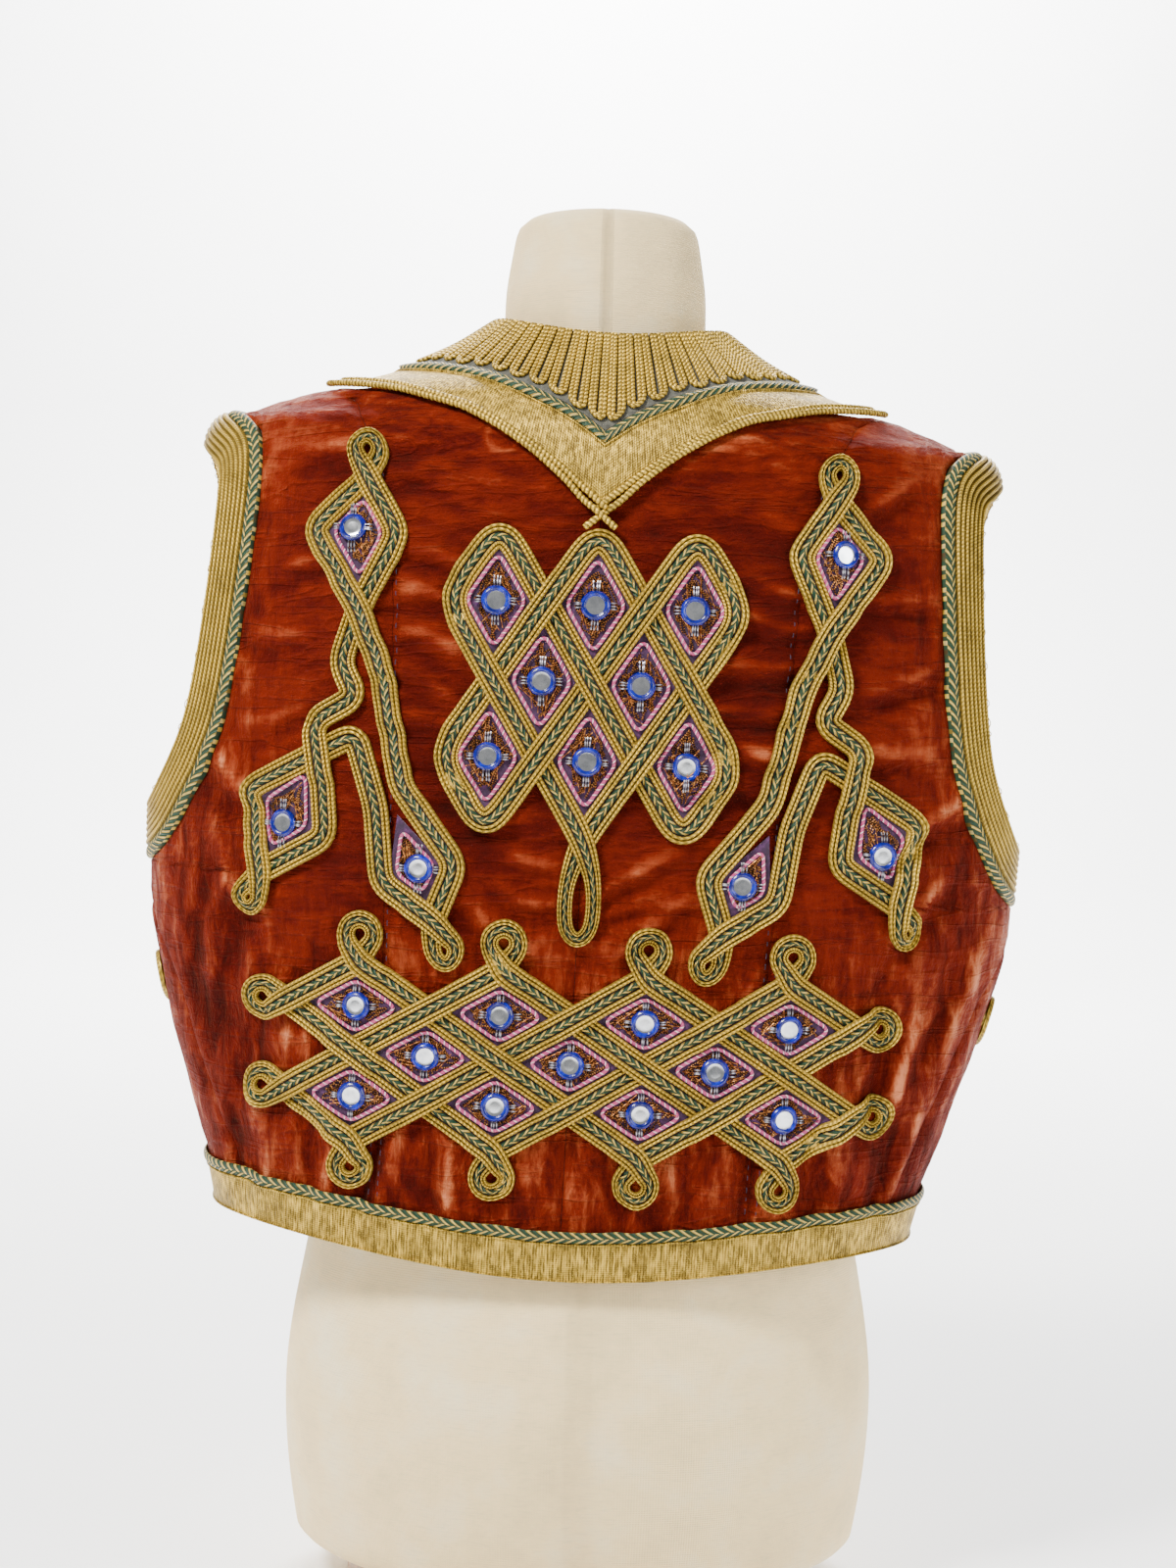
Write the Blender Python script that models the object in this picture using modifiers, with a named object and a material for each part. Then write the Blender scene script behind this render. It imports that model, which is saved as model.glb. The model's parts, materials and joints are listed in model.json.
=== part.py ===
"""Embroidered velvet folk vest on a limbless dress form, as separate closed solids.

Frame: +Z up, the back of the vest towards +Y, the wearer's left towards +X.
The origin is the middle of the underside of the form's foot. Sizes are metres.

The cloth is one ring-shaped surface, worked out from a table of horizontal sections.
A place on it is (along, height): the distance along the cloth from the centre back,
positive to the wearer's left, and the height. Every panel, band and braid is a wall
between two offsets of that surface.
"""
from collections import namedtuple
from math import cos, pi, radians, sin

import bmesh
import bpy
import numpy as np

MM = 0.001

# Driving sizes
SEAM_GAP = 0.3 * MM
VELVET_THICK = 3.0 * MM
LINING_TOP = -6.2 * MM
LINING_THICK = 1.0 * MM
LINING_REACH = 31.5 * MM
LINING_SHOULDER = 0.63
GROUND_LIFT = 0.5 * MM
GROUND_THICK = 0.5 * MM
BRAID_LIFT = 1.4 * MM
BRAID_THICK = 1.8 * MM
BRAID_WIDTH = 15.5 * MM
TRIM_LIFT = 1.2 * MM
TRIM_THICK = 1.6 * MM
ROWS_WIDTH = 24.0 * MM
CHEVRON_WIDTH = 6.0 * MM
GALLOON_WIDTH = 21.0 * MM
MIRROR_LIFT = 1.9 * MM
MIRROR_RADIUS = 7.6 * MM
MIRROR_SIDES = 8
MIRROR_THICK = 2.8 * MM
HANG_SLOPE = 0.03
HANG_PIVOT = 0.60
HEM_BACK = 0.196
HEM_SIDE = 0.212
HEM_REACH = 0.20
HEM_FADE = (0.24, 0.31)
NECK_BACK = 0.700
NECK_SIDE = 0.7125
VELVET_TOP = 0.676
SHOULDER_ROW = 0.668
PANEL_LOW = HEM_BACK + 0.009
PANEL_STEP = 0.030
VEE_START = 0.575
BRAID_STEP = 24.0 * MM
PASS_RISE = 2.2 * MM
PASS_RAMP = 4.0 * MM
DROP_WIDTH = 9.0 * MM
LOOP_WIDTH = 11.0 * MM
HEM_COLUMNS = 49
COLLAR_ROWS = [0, 0.35, 0.7, 1]
COLLAR_THICK = 0.6 * MM
COLLAR_GAP = 1.2 * MM
FINGER_GAP = 0.12

# Horizontal sections of the vest: half the width, depth behind and in front of the
# side line, and how square the corners are (2 is an ellipse).
Ring = namedtuple("Ring", "height half_width back front squareness")
VEST_RINGS = [
    Ring(0.190, 0.1950, 0.106, 0.116, 2.40),
    Ring(0.215, 0.1980, 0.107, 0.117, 2.40),
    Ring(0.240, 0.2045, 0.109, 0.118, 2.40),
    Ring(0.265, 0.2130, 0.111, 0.121, 2.40),
    Ring(0.300, 0.2220, 0.112, 0.122, 2.40),
    Ring(0.340, 0.2320, 0.112, 0.124, 2.40),
    Ring(0.375, 0.2410, 0.115, 0.125, 2.40),
    Ring(0.405, 0.2450, 0.117, 0.126, 2.40),
    Ring(0.435, 0.2460, 0.118, 0.127, 2.40),
    Ring(0.485, 0.2370, 0.119, 0.127, 2.40),
    Ring(0.560, 0.2300, 0.117, 0.120, 2.40),
    Ring(0.610, 0.2270, 0.111, 0.112, 2.35),
    Ring(0.640, 0.2245, 0.105, 0.104, 2.20),
    Ring(0.6500, 0.2200, 0.101, 0.100, 2.10),
    Ring(0.6560, 0.2020, 0.098, 0.096, 2.00),
    Ring(0.6630, 0.1860, 0.095, 0.092, 1.95),
    Ring(0.6700, 0.1630, 0.090, 0.086, 1.90),
    Ring(0.6750, 0.1380, 0.087, 0.082, 1.85),
    Ring(0.6860, 0.1130, 0.080, 0.076, 1.85),
    Ring(0.6970, 0.0900, 0.073, 0.070, 1.90),
    Ring(0.7125, 0.0660, 0.066, 0.066, 2.00),
]

# Where the velvet stops round the armhole, behind and in front of the side line.
Armhole = namedtuple("Armhole", "height back front")
ARMHOLE = [
    Armhole(0.4000, 0.000, 0.000),
    Armhole(0.4050, 0.036, 0.032),
    Armhole(0.4190, 0.063, 0.055),
    Armhole(0.4550, 0.086, 0.072),
    Armhole(0.5000, 0.092, 0.076),
    Armhole(0.5600, 0.093, 0.073),
    Armhole(0.6100, 0.089, 0.064),
    Armhole(0.6400, 0.076, 0.050),
    Armhole(0.6500, 0.052, 0.034),
    Armhole(0.6560, 0.000, 0.000),
]

# The seams that shape the back, and the fronts' open edge.
Seam = namedtuple("Seam", "height across")
SIDE_BACK_SEAM = [
    Seam(0.200, 0.100),
    Seam(0.300, 0.101),
    Seam(0.410, 0.103),
    Seam(0.510, 0.105),
    Seam(0.570, 0.108),
    Seam(0.640, 0.125),
    Seam(0.676, 0.136),
]
FRONT_EDGE = [
    Seam(0.200, 0.030),
    Seam(0.400, 0.034),
    Seam(0.560, 0.052),
    Seam(0.670, 0.076),
    Seam(0.712, 0.062),
]

# The underarm seam, as its distance behind the side line.
SideSeam = namedtuple("SideSeam", "height behind")
UNDERARM_SEAM = [
    SideSeam(0.200, 0.066),
    SideSeam(0.300, 0.060),
    SideSeam(0.350, 0.046),
    SideSeam(0.385, 0.014),
    SideSeam(0.400, 0.000),
]

# The V under the collar, as heights at each distance from the centre back: the lowest
# edge, the galloon's lower edge, and the two edges of the plaited braid.
Vee = namedtuple("Vee", "across edge cords plait_low plait_high")
VEE = [
    Vee(0.000, 0.5960, 0.6080, 0.6375, 0.6435),
    Vee(0.009, 0.6030, 0.6150, 0.6440, 0.6500),
    Vee(0.020, 0.6150, 0.6240, 0.6510, 0.6570),
    Vee(0.044, 0.6350, 0.6400, 0.6625, 0.6680),
    Vee(0.070, 0.6490, 0.6540, 0.6720, 0.6770),
    Vee(0.095, 0.6575, 0.6620, 0.6775, 0.6820),
    Vee(0.115, 0.6620, 0.6670, 0.6810, 0.6850),
]
VEE_SHOULDER = Vee(0.138, 0.6700, 0.6740, 0.6850, 0.6890)

# Soft vertical folds, widest at the sides and over the hem: where they are, how long,
# how wide and how far they stand out.
Fold = namedtuple("Fold", "along height long wide out")
FOLDS = [
    Fold(0.226, 0.335, 0.100, 0.034, 3.5 * MM),
    Fold(0.285, 0.340, 0.100, 0.034, 3.0 * MM),
    Fold(-0.222, 0.338, 0.100, 0.034, 3.0 * MM),
    Fold(-0.282, 0.345, 0.100, 0.034, 3.5 * MM),
]

# The dress form's sections.
FORM_RINGS = [
    Ring(0.0245, 0.150, 0.100, 0.098, 2.1),
    Ring(0.032, 0.160, 0.108, 0.106, 2.1),
    Ring(0.110, 0.168, 0.112, 0.108, 2.1),
    Ring(0.200, 0.156, 0.096, 0.096, 2.1),
    Ring(0.300, 0.130, 0.080, 0.088, 2.1),
    Ring(0.400, 0.142, 0.088, 0.106, 2.1),
    Ring(0.500, 0.156, 0.096, 0.112, 2.1),
    Ring(0.580, 0.168, 0.090, 0.092, 2.1),
    Ring(0.625, 0.166, 0.078, 0.076, 2.1),
    Ring(0.645, 0.146, 0.066, 0.064, 2.1),
    Ring(0.660, 0.108, 0.057, 0.056, 2.1),
    Ring(0.674, 0.078, 0.056, 0.055, 2.05),
    Ring(0.690, 0.061, 0.0565, 0.056, 2.0),
    Ring(0.706, 0.0575, 0.0560, 0.056, 2.0),
    Ring(0.730, 0.0570, 0.0560, 0.056, 2.0),
    Ring(0.757, 0.0535, 0.0535, 0.0535, 2.0),
    Ring(0.769, 0.0510, 0.0510, 0.051, 2.0),
    Ring(0.774, 0.0460, 0.0460, 0.046, 2.0),
]
FORM_SIDES = 24
FOOT_RADIUS = 0.130
FOOT_THICK = 0.024

# The motifs' corners, in metres from the centre back and up.
KNOT_CENTRE = 0.512
KNOT_HALF_WIDE = 0.0258
KNOT_HALF_HIGH = 0.0405
LATTICE_CENTRE = 0.312
LATTICE_HALF_WIDE = 0.038
LATTICE_HALF_HIGH = 0.024
LOOP_REACH = 14.5 * MM
LOOP_RADIUS = 8.5 * MM
Corner = namedtuple("Corner", "across height wide", defaults=(BRAID_WIDTH,))
SIDE_MOTIF = [
    Corner(0.1250, 0.6390, 0.010),
    Corner(0.1330, 0.6300, 0.010),
    Corner(0.1235, 0.6150),
    Corner(0.1050, 0.5850),
    Corner(0.1235, 0.5450),
    Corner(0.1320, 0.5160),
    Corner(0.1225, 0.4985),
    Corner(0.1445, 0.4850),
    Corner(0.1380, 0.4510),
    Corner(0.1350, 0.4240),
    Corner(0.1690, 0.4036),
    Corner(0.1820, 0.3905, 0.010),
    Corner(0.1765, 0.3810, 0.010),
    Corner(0.1680, 0.3875, 0.010),
    Corner(0.1690, 0.4036),
    Corner(0.1780, 0.4470),
    Corner(0.1220, 0.4790),
    Corner(0.1090, 0.4420),
    Corner(0.1040, 0.4020),
    Corner(0.0760, 0.3845),
    Corner(0.0610, 0.3700, 0.010),
    Corner(0.0670, 0.3590, 0.010),
    Corner(0.0755, 0.3660, 0.010),
    Corner(0.0760, 0.3845),
    Corner(0.0655, 0.4140),
    Corner(0.0965, 0.4535),
    Corner(0.1100, 0.5130),
    Corner(0.1235, 0.5450),
    Corner(0.1510, 0.5860),
    Corner(0.1235, 0.6150),
    Corner(0.1160, 0.6300, 0.010),
]
FRONT_MOTIF = [
    Corner(0.266, 0.335, 0.010),
    Corner(0.284, 0.321, 0.010),
    Corner(0.316, 0.350),
    Corner(0.350, 0.328),
    Corner(0.316, 0.306),
    Corner(0.284, 0.349, 0.010),
]

# Mirrors of the knot and the lattice, in half steps; those of a side motif, in metres.
KNOT_MIRRORS = [(-2, 1), (0, 1), (2, 1), (-1, 0), (1, 0), (-2, -1), (0, -1), (2, -1)]
LATTICE_MIRRORS = [(-3, 1), (-1, 1), (1, 1), (3, 1), (-2, 0), (0, 0), (2, 0),
                   (-3, -1), (-1, -1), (1, -1), (3, -1)]
SIDE_MIRRORS = [Corner(0.1290, 0.5870), Corner(0.1580, 0.4300), Corner(0.0845, 0.4110)]


def smooth_curve(keys, values, at):
    """A curve through the rows that never swings past them."""
    keys = np.asarray(keys, float)
    values = np.asarray(values, float)
    step = np.diff(keys)
    rise = np.diff(values) / step
    slope = np.zeros(len(keys))
    product = rise[:-1] * rise[1:]
    total = rise[:-1] + rise[1:]
    same = product > 0
    slope[1:-1][same] = 2 * product[same] / total[same]
    slope[0] = rise[0]
    slope[-1] = rise[-1]
    at = np.clip(at, keys[0], keys[-1])
    i = np.clip(np.searchsorted(keys, at, side="right") - 1, 0, len(step) - 1)
    u = (at - keys[i]) / step[i]
    a = values[i] * (1 + 2 * u) * (1 - u) ** 2 + values[i + 1] * u * u * (3 - 2 * u)
    b = slope[i] * u * (1 - u) ** 2 - slope[i + 1] * u * u * (1 - u)
    return a + b * step[i]


def column(rows, name, at):
    """One column of a table, read at a value of its first column."""
    return smooth_curve([row[0] for row in rows], [getattr(row, name) for row in rows], at)


def smooth_step(low, high, value):
    u = np.clip((value - low) / (high - low), 0, 1)
    return u * u * (3 - 2 * u)


class RingSurface:
    """A surface through horizontal sections, read by share of each quarter and height.

    The share is 0 at the centre back, 1 at the side line and 2 at the centre front.
    """

    SHARES = 161
    HEIGHT_STEP = 1.0 * MM

    def __init__(self, rows):
        self.low = rows[0].height
        count = int(round((rows[-1].height - self.low) / self.HEIGHT_STEP)) + 1
        self.heights = self.low + np.arange(count) * self.HEIGHT_STEP
        angle = np.linspace(0, pi / 2, 241)
        half = np.linspace(0, 1, (self.SHARES + 1) // 2)
        self.grid = np.zeros((count, self.SHARES, 2))
        self.quarter = np.zeros((count, 2))
        for i, height in enumerate(self.heights):
            wide = column(rows, "half_width", height)
            power = 2 / column(rows, "squareness", height)
            for j, side in enumerate(("back", "front")):
                deep = column(rows, side, height)
                across = wide * np.sin(angle) ** power
                behind = deep * np.abs(np.cos(angle)) ** power
                length = np.append(0, np.cumsum(np.hypot(np.diff(across), np.diff(behind))))
                self.quarter[i, j] = length[-1]
                x = np.interp(half * length[-1], length, across)
                y = np.interp(half * length[-1], length, behind)
                if side == "back":
                    self.grid[i, :len(half)] = np.stack((x, y), 1)
                else:
                    self.grid[i, len(half) - 1:] = np.stack((x, -y), 1)[::-1]

    def level(self, height):
        return np.clip((height - self.low) / self.HEIGHT_STEP, 0, len(self.heights) - 1.001)

    def lengths(self, height):
        """Length of the back quarter and of the front quarter at a height."""
        row = self.level(np.asarray(height, float))
        i = row.astype(int)
        f = (row - i)[..., None]
        both = self.quarter[i] * (1 - f) + self.quarter[i + 1] * f
        return both[..., 0], both[..., 1]

    def plan(self, share, height):
        row = self.level(np.asarray(height, float))
        spot = np.clip(np.asarray(share, float), 0, 2) * (self.SHARES - 1) / 2
        spot = np.minimum(spot, self.SHARES - 1.001)
        i, j = row.astype(int), spot.astype(int)
        f, g = (row - i)[..., None], (spot - j)[..., None]
        low = self.grid[i, j] * (1 - g) + self.grid[i, j + 1] * g
        high = self.grid[i + 1, j] * (1 - g) + self.grid[i + 1, j + 1] * g
        return low * (1 - f) + high * f


VEST = RingSurface(VEST_RINGS)


def share_at(along, height):
    """Share of the quarters for a distance along the cloth from the centre back."""
    back, front = VEST.lengths(height)
    reach = np.abs(along)
    return np.where(reach <= back, reach / back, 1 + (reach - back) / front)


def along_at(across, height):
    """Distance along the cloth for a distance across, seen from behind."""
    shares = np.linspace(0, 1, 81)
    back = float(VEST.lengths(height)[0])
    plan = VEST.plan(shares, np.full(81, float(height)))
    return float(np.sign(across) * np.interp(abs(across), plan[:, 0], shares) * back)


def base_point(along, height):
    plan = VEST.plan(share_at(along, height), height)
    side = np.where(along < 0, -1.0, 1.0)
    return np.stack((plan[..., 0] * side, plan[..., 1], height), -1)


def outward(along, height):
    """Unit normal of the cloth, pointing away from the wearer."""
    step = 2.0 * MM
    side = base_point(along + step, height) - base_point(along - step, height)
    up = base_point(along, height + step) - base_point(along, height - step)
    normal = np.cross(up, side)
    return normal / np.linalg.norm(normal, axis=-1, keepdims=True)


def fold_height(along, height):
    total = np.zeros(np.shape(along))
    for fold in FOLDS:
        across = (along - fold.along) / fold.wide
        up = (height - fold.height) / (fold.long / 2)
        total = total + fold.out * np.exp(-across ** 2 - up ** 4)
    return total


def cloth_point(along, height, lift, folded=True):
    """Places on the cloth, moved out by lift, with the askew hang of the whole vest."""
    along = np.asarray(along, float)
    height = np.asarray(height, float)
    out = lift + (fold_height(along, height) if folded else 0)
    points = base_point(along, height) + outward(along, height) * np.asarray(out)[..., None]
    across, up = points[..., 0].copy(), points[..., 2].copy()
    points[..., 0] -= HANG_SLOPE * (up - HANG_PIVOT)
    points[..., 2] += HANG_SLOPE * across
    return points


def hem_height(along):
    return HEM_BACK + (HEM_SIDE - HEM_BACK) * smooth_step(0, HEM_REACH, np.abs(along))


def follow_hem(along, height):
    """Height moved with the curve of the hem, fading out above it."""
    level = (HEM_BACK + HEM_SIDE) / 2
    rest = 1 - smooth_step(HEM_FADE[0], HEM_FADE[1], height)
    return height + (hem_height(along) - level) * rest


def neck_height(along):
    return NECK_BACK + (NECK_SIDE - NECK_BACK) * smooth_step(0, 0.08, np.abs(along))


def material(name, colour, roughness, metallic):
    made = bpy.data.materials.new(name)
    made.use_nodes = True
    shader = made.node_tree.nodes["Principled BSDF"]
    shader.inputs["Base Color"].default_value = (*colour, 1)
    shader.inputs["Roughness"].default_value = roughness
    shader.inputs["Metallic"].default_value = metallic
    made.diffuse_color = (*colour, 1)
    return made


def add_mesh(name, points, faces, look):
    mesh = bpy.data.meshes.new(name)
    mesh.from_pydata([tuple(point) for point in points], [], faces)
    mesh.materials.append(look)
    shape = bmesh.new()
    shape.from_mesh(mesh)
    bmesh.ops.recalc_face_normals(shape, faces=shape.faces)
    bmesh.ops.triangulate(shape, faces=shape.faces)
    if shape.calc_volume(signed=True) < 0:
        bmesh.ops.reverse_faces(shape, faces=shape.faces)
    shape.to_mesh(mesh)
    shape.free()
    made = bpy.data.objects.new(name, mesh)
    VEST_PARTS.objects.link(made)
    return made


def wall(name, outer, inner, look, loop=False):
    """A closed wall between two grids of points; with loop, the rows join up."""
    rows, columns = outer.shape[:2]
    points = np.concatenate((outer.reshape(-1, 3), inner.reshape(-1, 3)))
    shift = rows * columns

    def spot(row, col, layer):
        return layer * shift + (row % rows) * columns + col

    faces = []
    for row in range(rows if loop else rows - 1):
        for col in range(columns - 1):
            cell = [(row, col), (row, col + 1), (row + 1, col + 1), (row + 1, col)]
            faces.append([spot(r, c, 0) for r, c in cell])
            faces.append([spot(r, c, 1) for r, c in reversed(cell)])
        for col in (0, columns - 1):
            faces.append([spot(row, col, 0), spot(row + 1, col, 0),
                          spot(row + 1, col, 1), spot(row, col, 1)])
    if not loop:
        for row in (0, rows - 1):
            for col in range(columns - 1):
                faces.append([spot(row, col, 0), spot(row, col + 1, 0),
                              spot(row, col + 1, 1), spot(row, col, 1)])
    return add_mesh(name, points, faces, look)


def cloth_wall(name, along, height, lift, thick, look, loop=False, folded=True):
    outer = cloth_point(along, height, lift, folded)
    inner = cloth_point(along, height, lift - thick, folded)
    return wall(name, outer, inner, look, loop)


def between(start, end, columns, crowd=1.0):
    """Rows of places between two edges, closer together at the end with crowd over 1."""
    share = 1 - (1 - np.linspace(0, 1, columns)[None, :]) ** crowd
    start, end = np.asarray(start, float)[:, None], np.asarray(end, float)[:, None]
    return start + (end - start) * share


def panel_levels(low=PANEL_LOW, high=VELVET_TOP):
    """Heights of the rows that all panels share: even steps, and the armhole's rows."""
    count = int(round((high - low) / PANEL_STEP)) + 1
    holes = [row.height for row in ARMHOLE]
    even = np.linspace(low, high, count)
    levels = [z for z in even if all(abs(z - h) > PANEL_STEP / 2.5 for h in holes)]
    return np.array(sorted(set(levels + holes + [low, SHOULDER_ROW, high])))


def back_length(height):
    return VEST.lengths(height)[0]


def underarm_seam(height):
    return back_length(height) - column(UNDERARM_SEAM, "behind", height)


def armhole_edge(height, side):
    gap = column(ARMHOLE, side, height)
    if side == "back":
        return back_length(height) - gap
    return back_length(height) + gap


def side_back_seam(height):
    """The curved seam down the back, until it meets the shoulder."""
    line = [along_at(column(SIDE_BACK_SEAM, "across", z), z) for z in height]
    return np.minimum(np.array(line), back_length(height) - SEAM_GAP)


def front_edge(height):
    """Distance along the cloth to the open front edge."""
    across = column(FRONT_EDGE, "across", height)
    found = []
    for z, x in zip(height, across):
        shares = np.linspace(1, 2, 81)
        plan = VEST.plan(shares, np.full(81, z))
        share = np.interp(-x, -plan[:, 0], shares)
        back, front = VEST.lengths(z)
        found.append(float(back + (share - 1) * front))
    return np.array(found)


def vee_top(along, level):
    """Heights of the rows below the V: they close up towards its sloping line."""
    top = column(VEE, "cords", np.abs(along) * 0.97)
    share = np.maximum(level - VEE_START, 0) / (VELVET_TOP - VEE_START)
    return np.where(level > VEE_START, VEE_START + (top - VEE_START) * share, level)


def build_back_centre(name, side, look):
    levels = panel_levels()
    end = side_back_seam(levels) - SEAM_GAP
    along = between(np.full(len(levels), SEAM_GAP / 2), end, 7, 1.4)
    height = vee_top(along, follow_hem(along, levels[:, None] + 0 * along))
    return cloth_wall(name, along * side, height, 0, VELVET_THICK, look)


def build_back_side(name, side, look):
    levels = panel_levels()[:-1]
    in_hole = (levels > ARMHOLE[0].height) & (levels < ARMHOLE[-1].height)
    end = np.where(in_hole, armhole_edge(levels, "back"), back_length(levels))
    end = np.where(levels <= ARMHOLE[0].height, underarm_seam(levels), end) - SEAM_GAP
    along = between(side_back_seam(levels), end, 7, 1.2)
    height = follow_hem(along, levels[:, None] + 0 * along)
    seam_height = vee_top(along[:, :1], levels[:, None])
    fade = np.linspace(1, 0, 7)[None, :] ** 2
    height = height + (seam_height - levels[:, None]) * fade * (levels[:, None] > VEE_START)
    return cloth_wall(name, along * side, height, 0, VELVET_THICK, look)


def front_start(levels, reach=0):
    in_hole = (levels > ARMHOLE[0].height) & (levels < ARMHOLE[-1].height)
    start = np.where(in_hole, armhole_edge(levels, "front") - reach, back_length(levels))
    start = np.where(levels <= ARMHOLE[0].height, underarm_seam(levels), start)
    return start + SEAM_GAP


def build_front(name, side, look):
    levels = panel_levels()
    along = between(front_edge(levels), front_start(levels), 12, 1.4) * side
    height = follow_hem(along, levels[:, None] + 0 * along)
    return cloth_wall(name, along, height, 0, VELVET_THICK, look)


def build_lining(look):
    """The lining: a back and two fronts, a little past the velvet at each armhole."""
    levels = panel_levels(PANEL_LOW + 0.008)
    in_hole = (levels > ARMHOLE[0].height) & (levels < ARMHOLE[-1].height)
    whole = back_length(levels)
    end = np.where(levels <= ARMHOLE[0].height, underarm_seam(levels), whole)
    reach = np.where(levels < LINING_SHOULDER, LINING_REACH, 0)
    end = np.where(in_hole, armhole_edge(levels, "back") + reach, end)
    at_shoulder = levels >= ARMHOLE[-1].height
    end = np.minimum(end, whole - np.where(at_shoulder, LINING_REACH, 0)) - SEAM_GAP
    along = end[:, None] * np.linspace(-1, 1, 13)[None, :]
    height = vee_top(np.abs(along), follow_hem(along, levels[:, None] + 0 * along))
    cloth_wall("lining_back", along, height, LINING_TOP, LINING_THICK, look, folded=False)
    for word, side in SIDES:
        start = np.maximum(front_start(levels, reach), np.where(in_hole, whole, 0))
        along = between(front_edge(levels) - 0.004, start, 7, 1.4) * side
        height = follow_hem(along, levels[:, None] + 0 * along)
        cloth_wall("lining_front_" + word, along, height, LINING_TOP, LINING_THICK, look,
                   folded=False)


def walk(along, height, direction, distance):
    """Go a distance over the cloth from a place, in a direction given in space."""
    pace = 2.0 * MM
    steps = max(1, int(round(distance / pace)))
    pace = distance / steps
    tiny = 0.5 * MM
    for _ in range(steps):
        here = base_point(along, height)
        d_along = (base_point(along + tiny, height) - here) / tiny
        d_height = (base_point(along, height + tiny) - here) / tiny
        frame = np.stack((d_along, d_height), -1)
        move = np.linalg.lstsq(frame, direction, rcond=None)[0]
        taken = frame @ move
        taken = taken / np.linalg.norm(taken)
        move = np.linalg.lstsq(frame, taken, rcond=None)[0]
        along = along + move[0] * pace
        height = height + move[1] * pace
        direction = taken
    return along, height


def armhole_loop():
    """Places round the velvet's edge at the armhole, up the back and down the front."""
    levels = panel_levels()
    heights = levels[(levels >= ARMHOLE[0].height) & (levels <= ARMHOLE[-1].height)]
    back = [(armhole_edge(z, "back"), z) for z in heights]
    front = [(armhole_edge(z, "front"), z) for z in heights[-2:0:-1]]
    return np.array([(float(a), float(z)) for a, z in back + front])


def build_armhole_trim(word, side, rows_look, plait_look):
    loop = armhole_loop()
    points = base_point(loop[:, 0], loop[:, 1])
    normals = outward(loop[:, 0], loop[:, 1])
    ahead = np.roll(points, -1, 0) - np.roll(points, 1, 0)
    inside = np.cross(normals, ahead)
    inside /= np.linalg.norm(inside, axis=1, keepdims=True)
    reach = [SEAM_GAP, CHEVRON_WIDTH, CHEVRON_WIDTH + SEAM_GAP,
             CHEVRON_WIDTH + ROWS_WIDTH / 2, CHEVRON_WIDTH + ROWS_WIDTH]
    places = np.array([[walk(a, z, d, r) for r in reach] for (a, z), d in zip(loop, inside)])
    along = places[..., 0] * side
    height = places[..., 1]
    cloth_wall("armhole_chevron_" + word, along[:, :2], height[:, :2], TRIM_THICK,
               TRIM_THICK + VELVET_THICK, plait_look, loop=True)
    cloth_wall("armhole_rows_" + word, along[:, 2:], height[:, 2:], TRIM_THICK,
               TRIM_THICK + VELVET_THICK, rows_look, loop=True)


def build_hem(galloon_look, plait_look):
    edge = float(front_edge(np.array([HEM_BACK + 0.02]))[0])
    along = np.linspace(-edge, edge, HEM_COLUMNS)[None, :]
    low = hem_height(along)
    turns = [0, GALLOON_WIDTH / 2, GALLOON_WIDTH]
    cloth_wall("hem_galloon", along + np.zeros((3, 1)), np.concatenate([low + t for t in turns]),
               TRIM_LIFT + TRIM_THICK, TRIM_THICK, galloon_look)
    turns = [GALLOON_WIDTH + SEAM_GAP, GALLOON_WIDTH + CHEVRON_WIDTH]
    cloth_wall("hem_chevron", along + np.zeros((2, 1)), np.concatenate([low + t for t in turns]),
               TRIM_LIFT + TRIM_THICK, TRIM_THICK, plait_look)


def vee_line(name):
    """Places along a line of the V, from the right shoulder to the left one."""
    right = [(-along_at(row.across, getattr(row, name)), getattr(row, name)) for row in VEE[:0:-1]]
    left = [(along_at(row.across, getattr(row, name)), getattr(row, name)) for row in VEE]
    top = getattr(VEE_SHOULDER, name)
    shoulder = float(back_length(top)) + 0.004
    line = [(-shoulder, top)] + right + left + [(shoulder, top)]
    return np.array(line)


def strip(name, lines, lift, thick, look):
    """A strip whose long edges are two or more lines of places."""
    along = np.stack([line[:, 0] for line in lines])
    height = np.stack([line[:, 1] for line in lines])
    return cloth_wall(name, along, height, lift, thick, look)


def refine(line, parts):
    """Each stretch of a line, cut into equal parts."""
    steps = np.arange(len(line) - 1).repeat(parts) + np.tile(np.arange(parts) / parts, len(line) - 1)
    steps = np.append(steps, len(line) - 1)
    at = np.arange(len(line))
    return np.stack((np.interp(steps, at, line[:, 0]), np.interp(steps, at, line[:, 1])), 1)


def build_front_galloon(word, side, look):
    levels = panel_levels(HEM_SIDE + GALLOON_WIDTH + CHEVRON_WIDTH + MM, VELVET_TOP - 0.008)
    edge = front_edge(levels)
    along = np.stack((edge, edge - GALLOON_WIDTH / 2, edge - GALLOON_WIDTH), 1) * side
    height = levels[:, None] + 0 * along
    cloth_wall("front_galloon_" + word, along, height, TRIM_LIFT + TRIM_THICK, TRIM_THICK, look)


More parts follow.
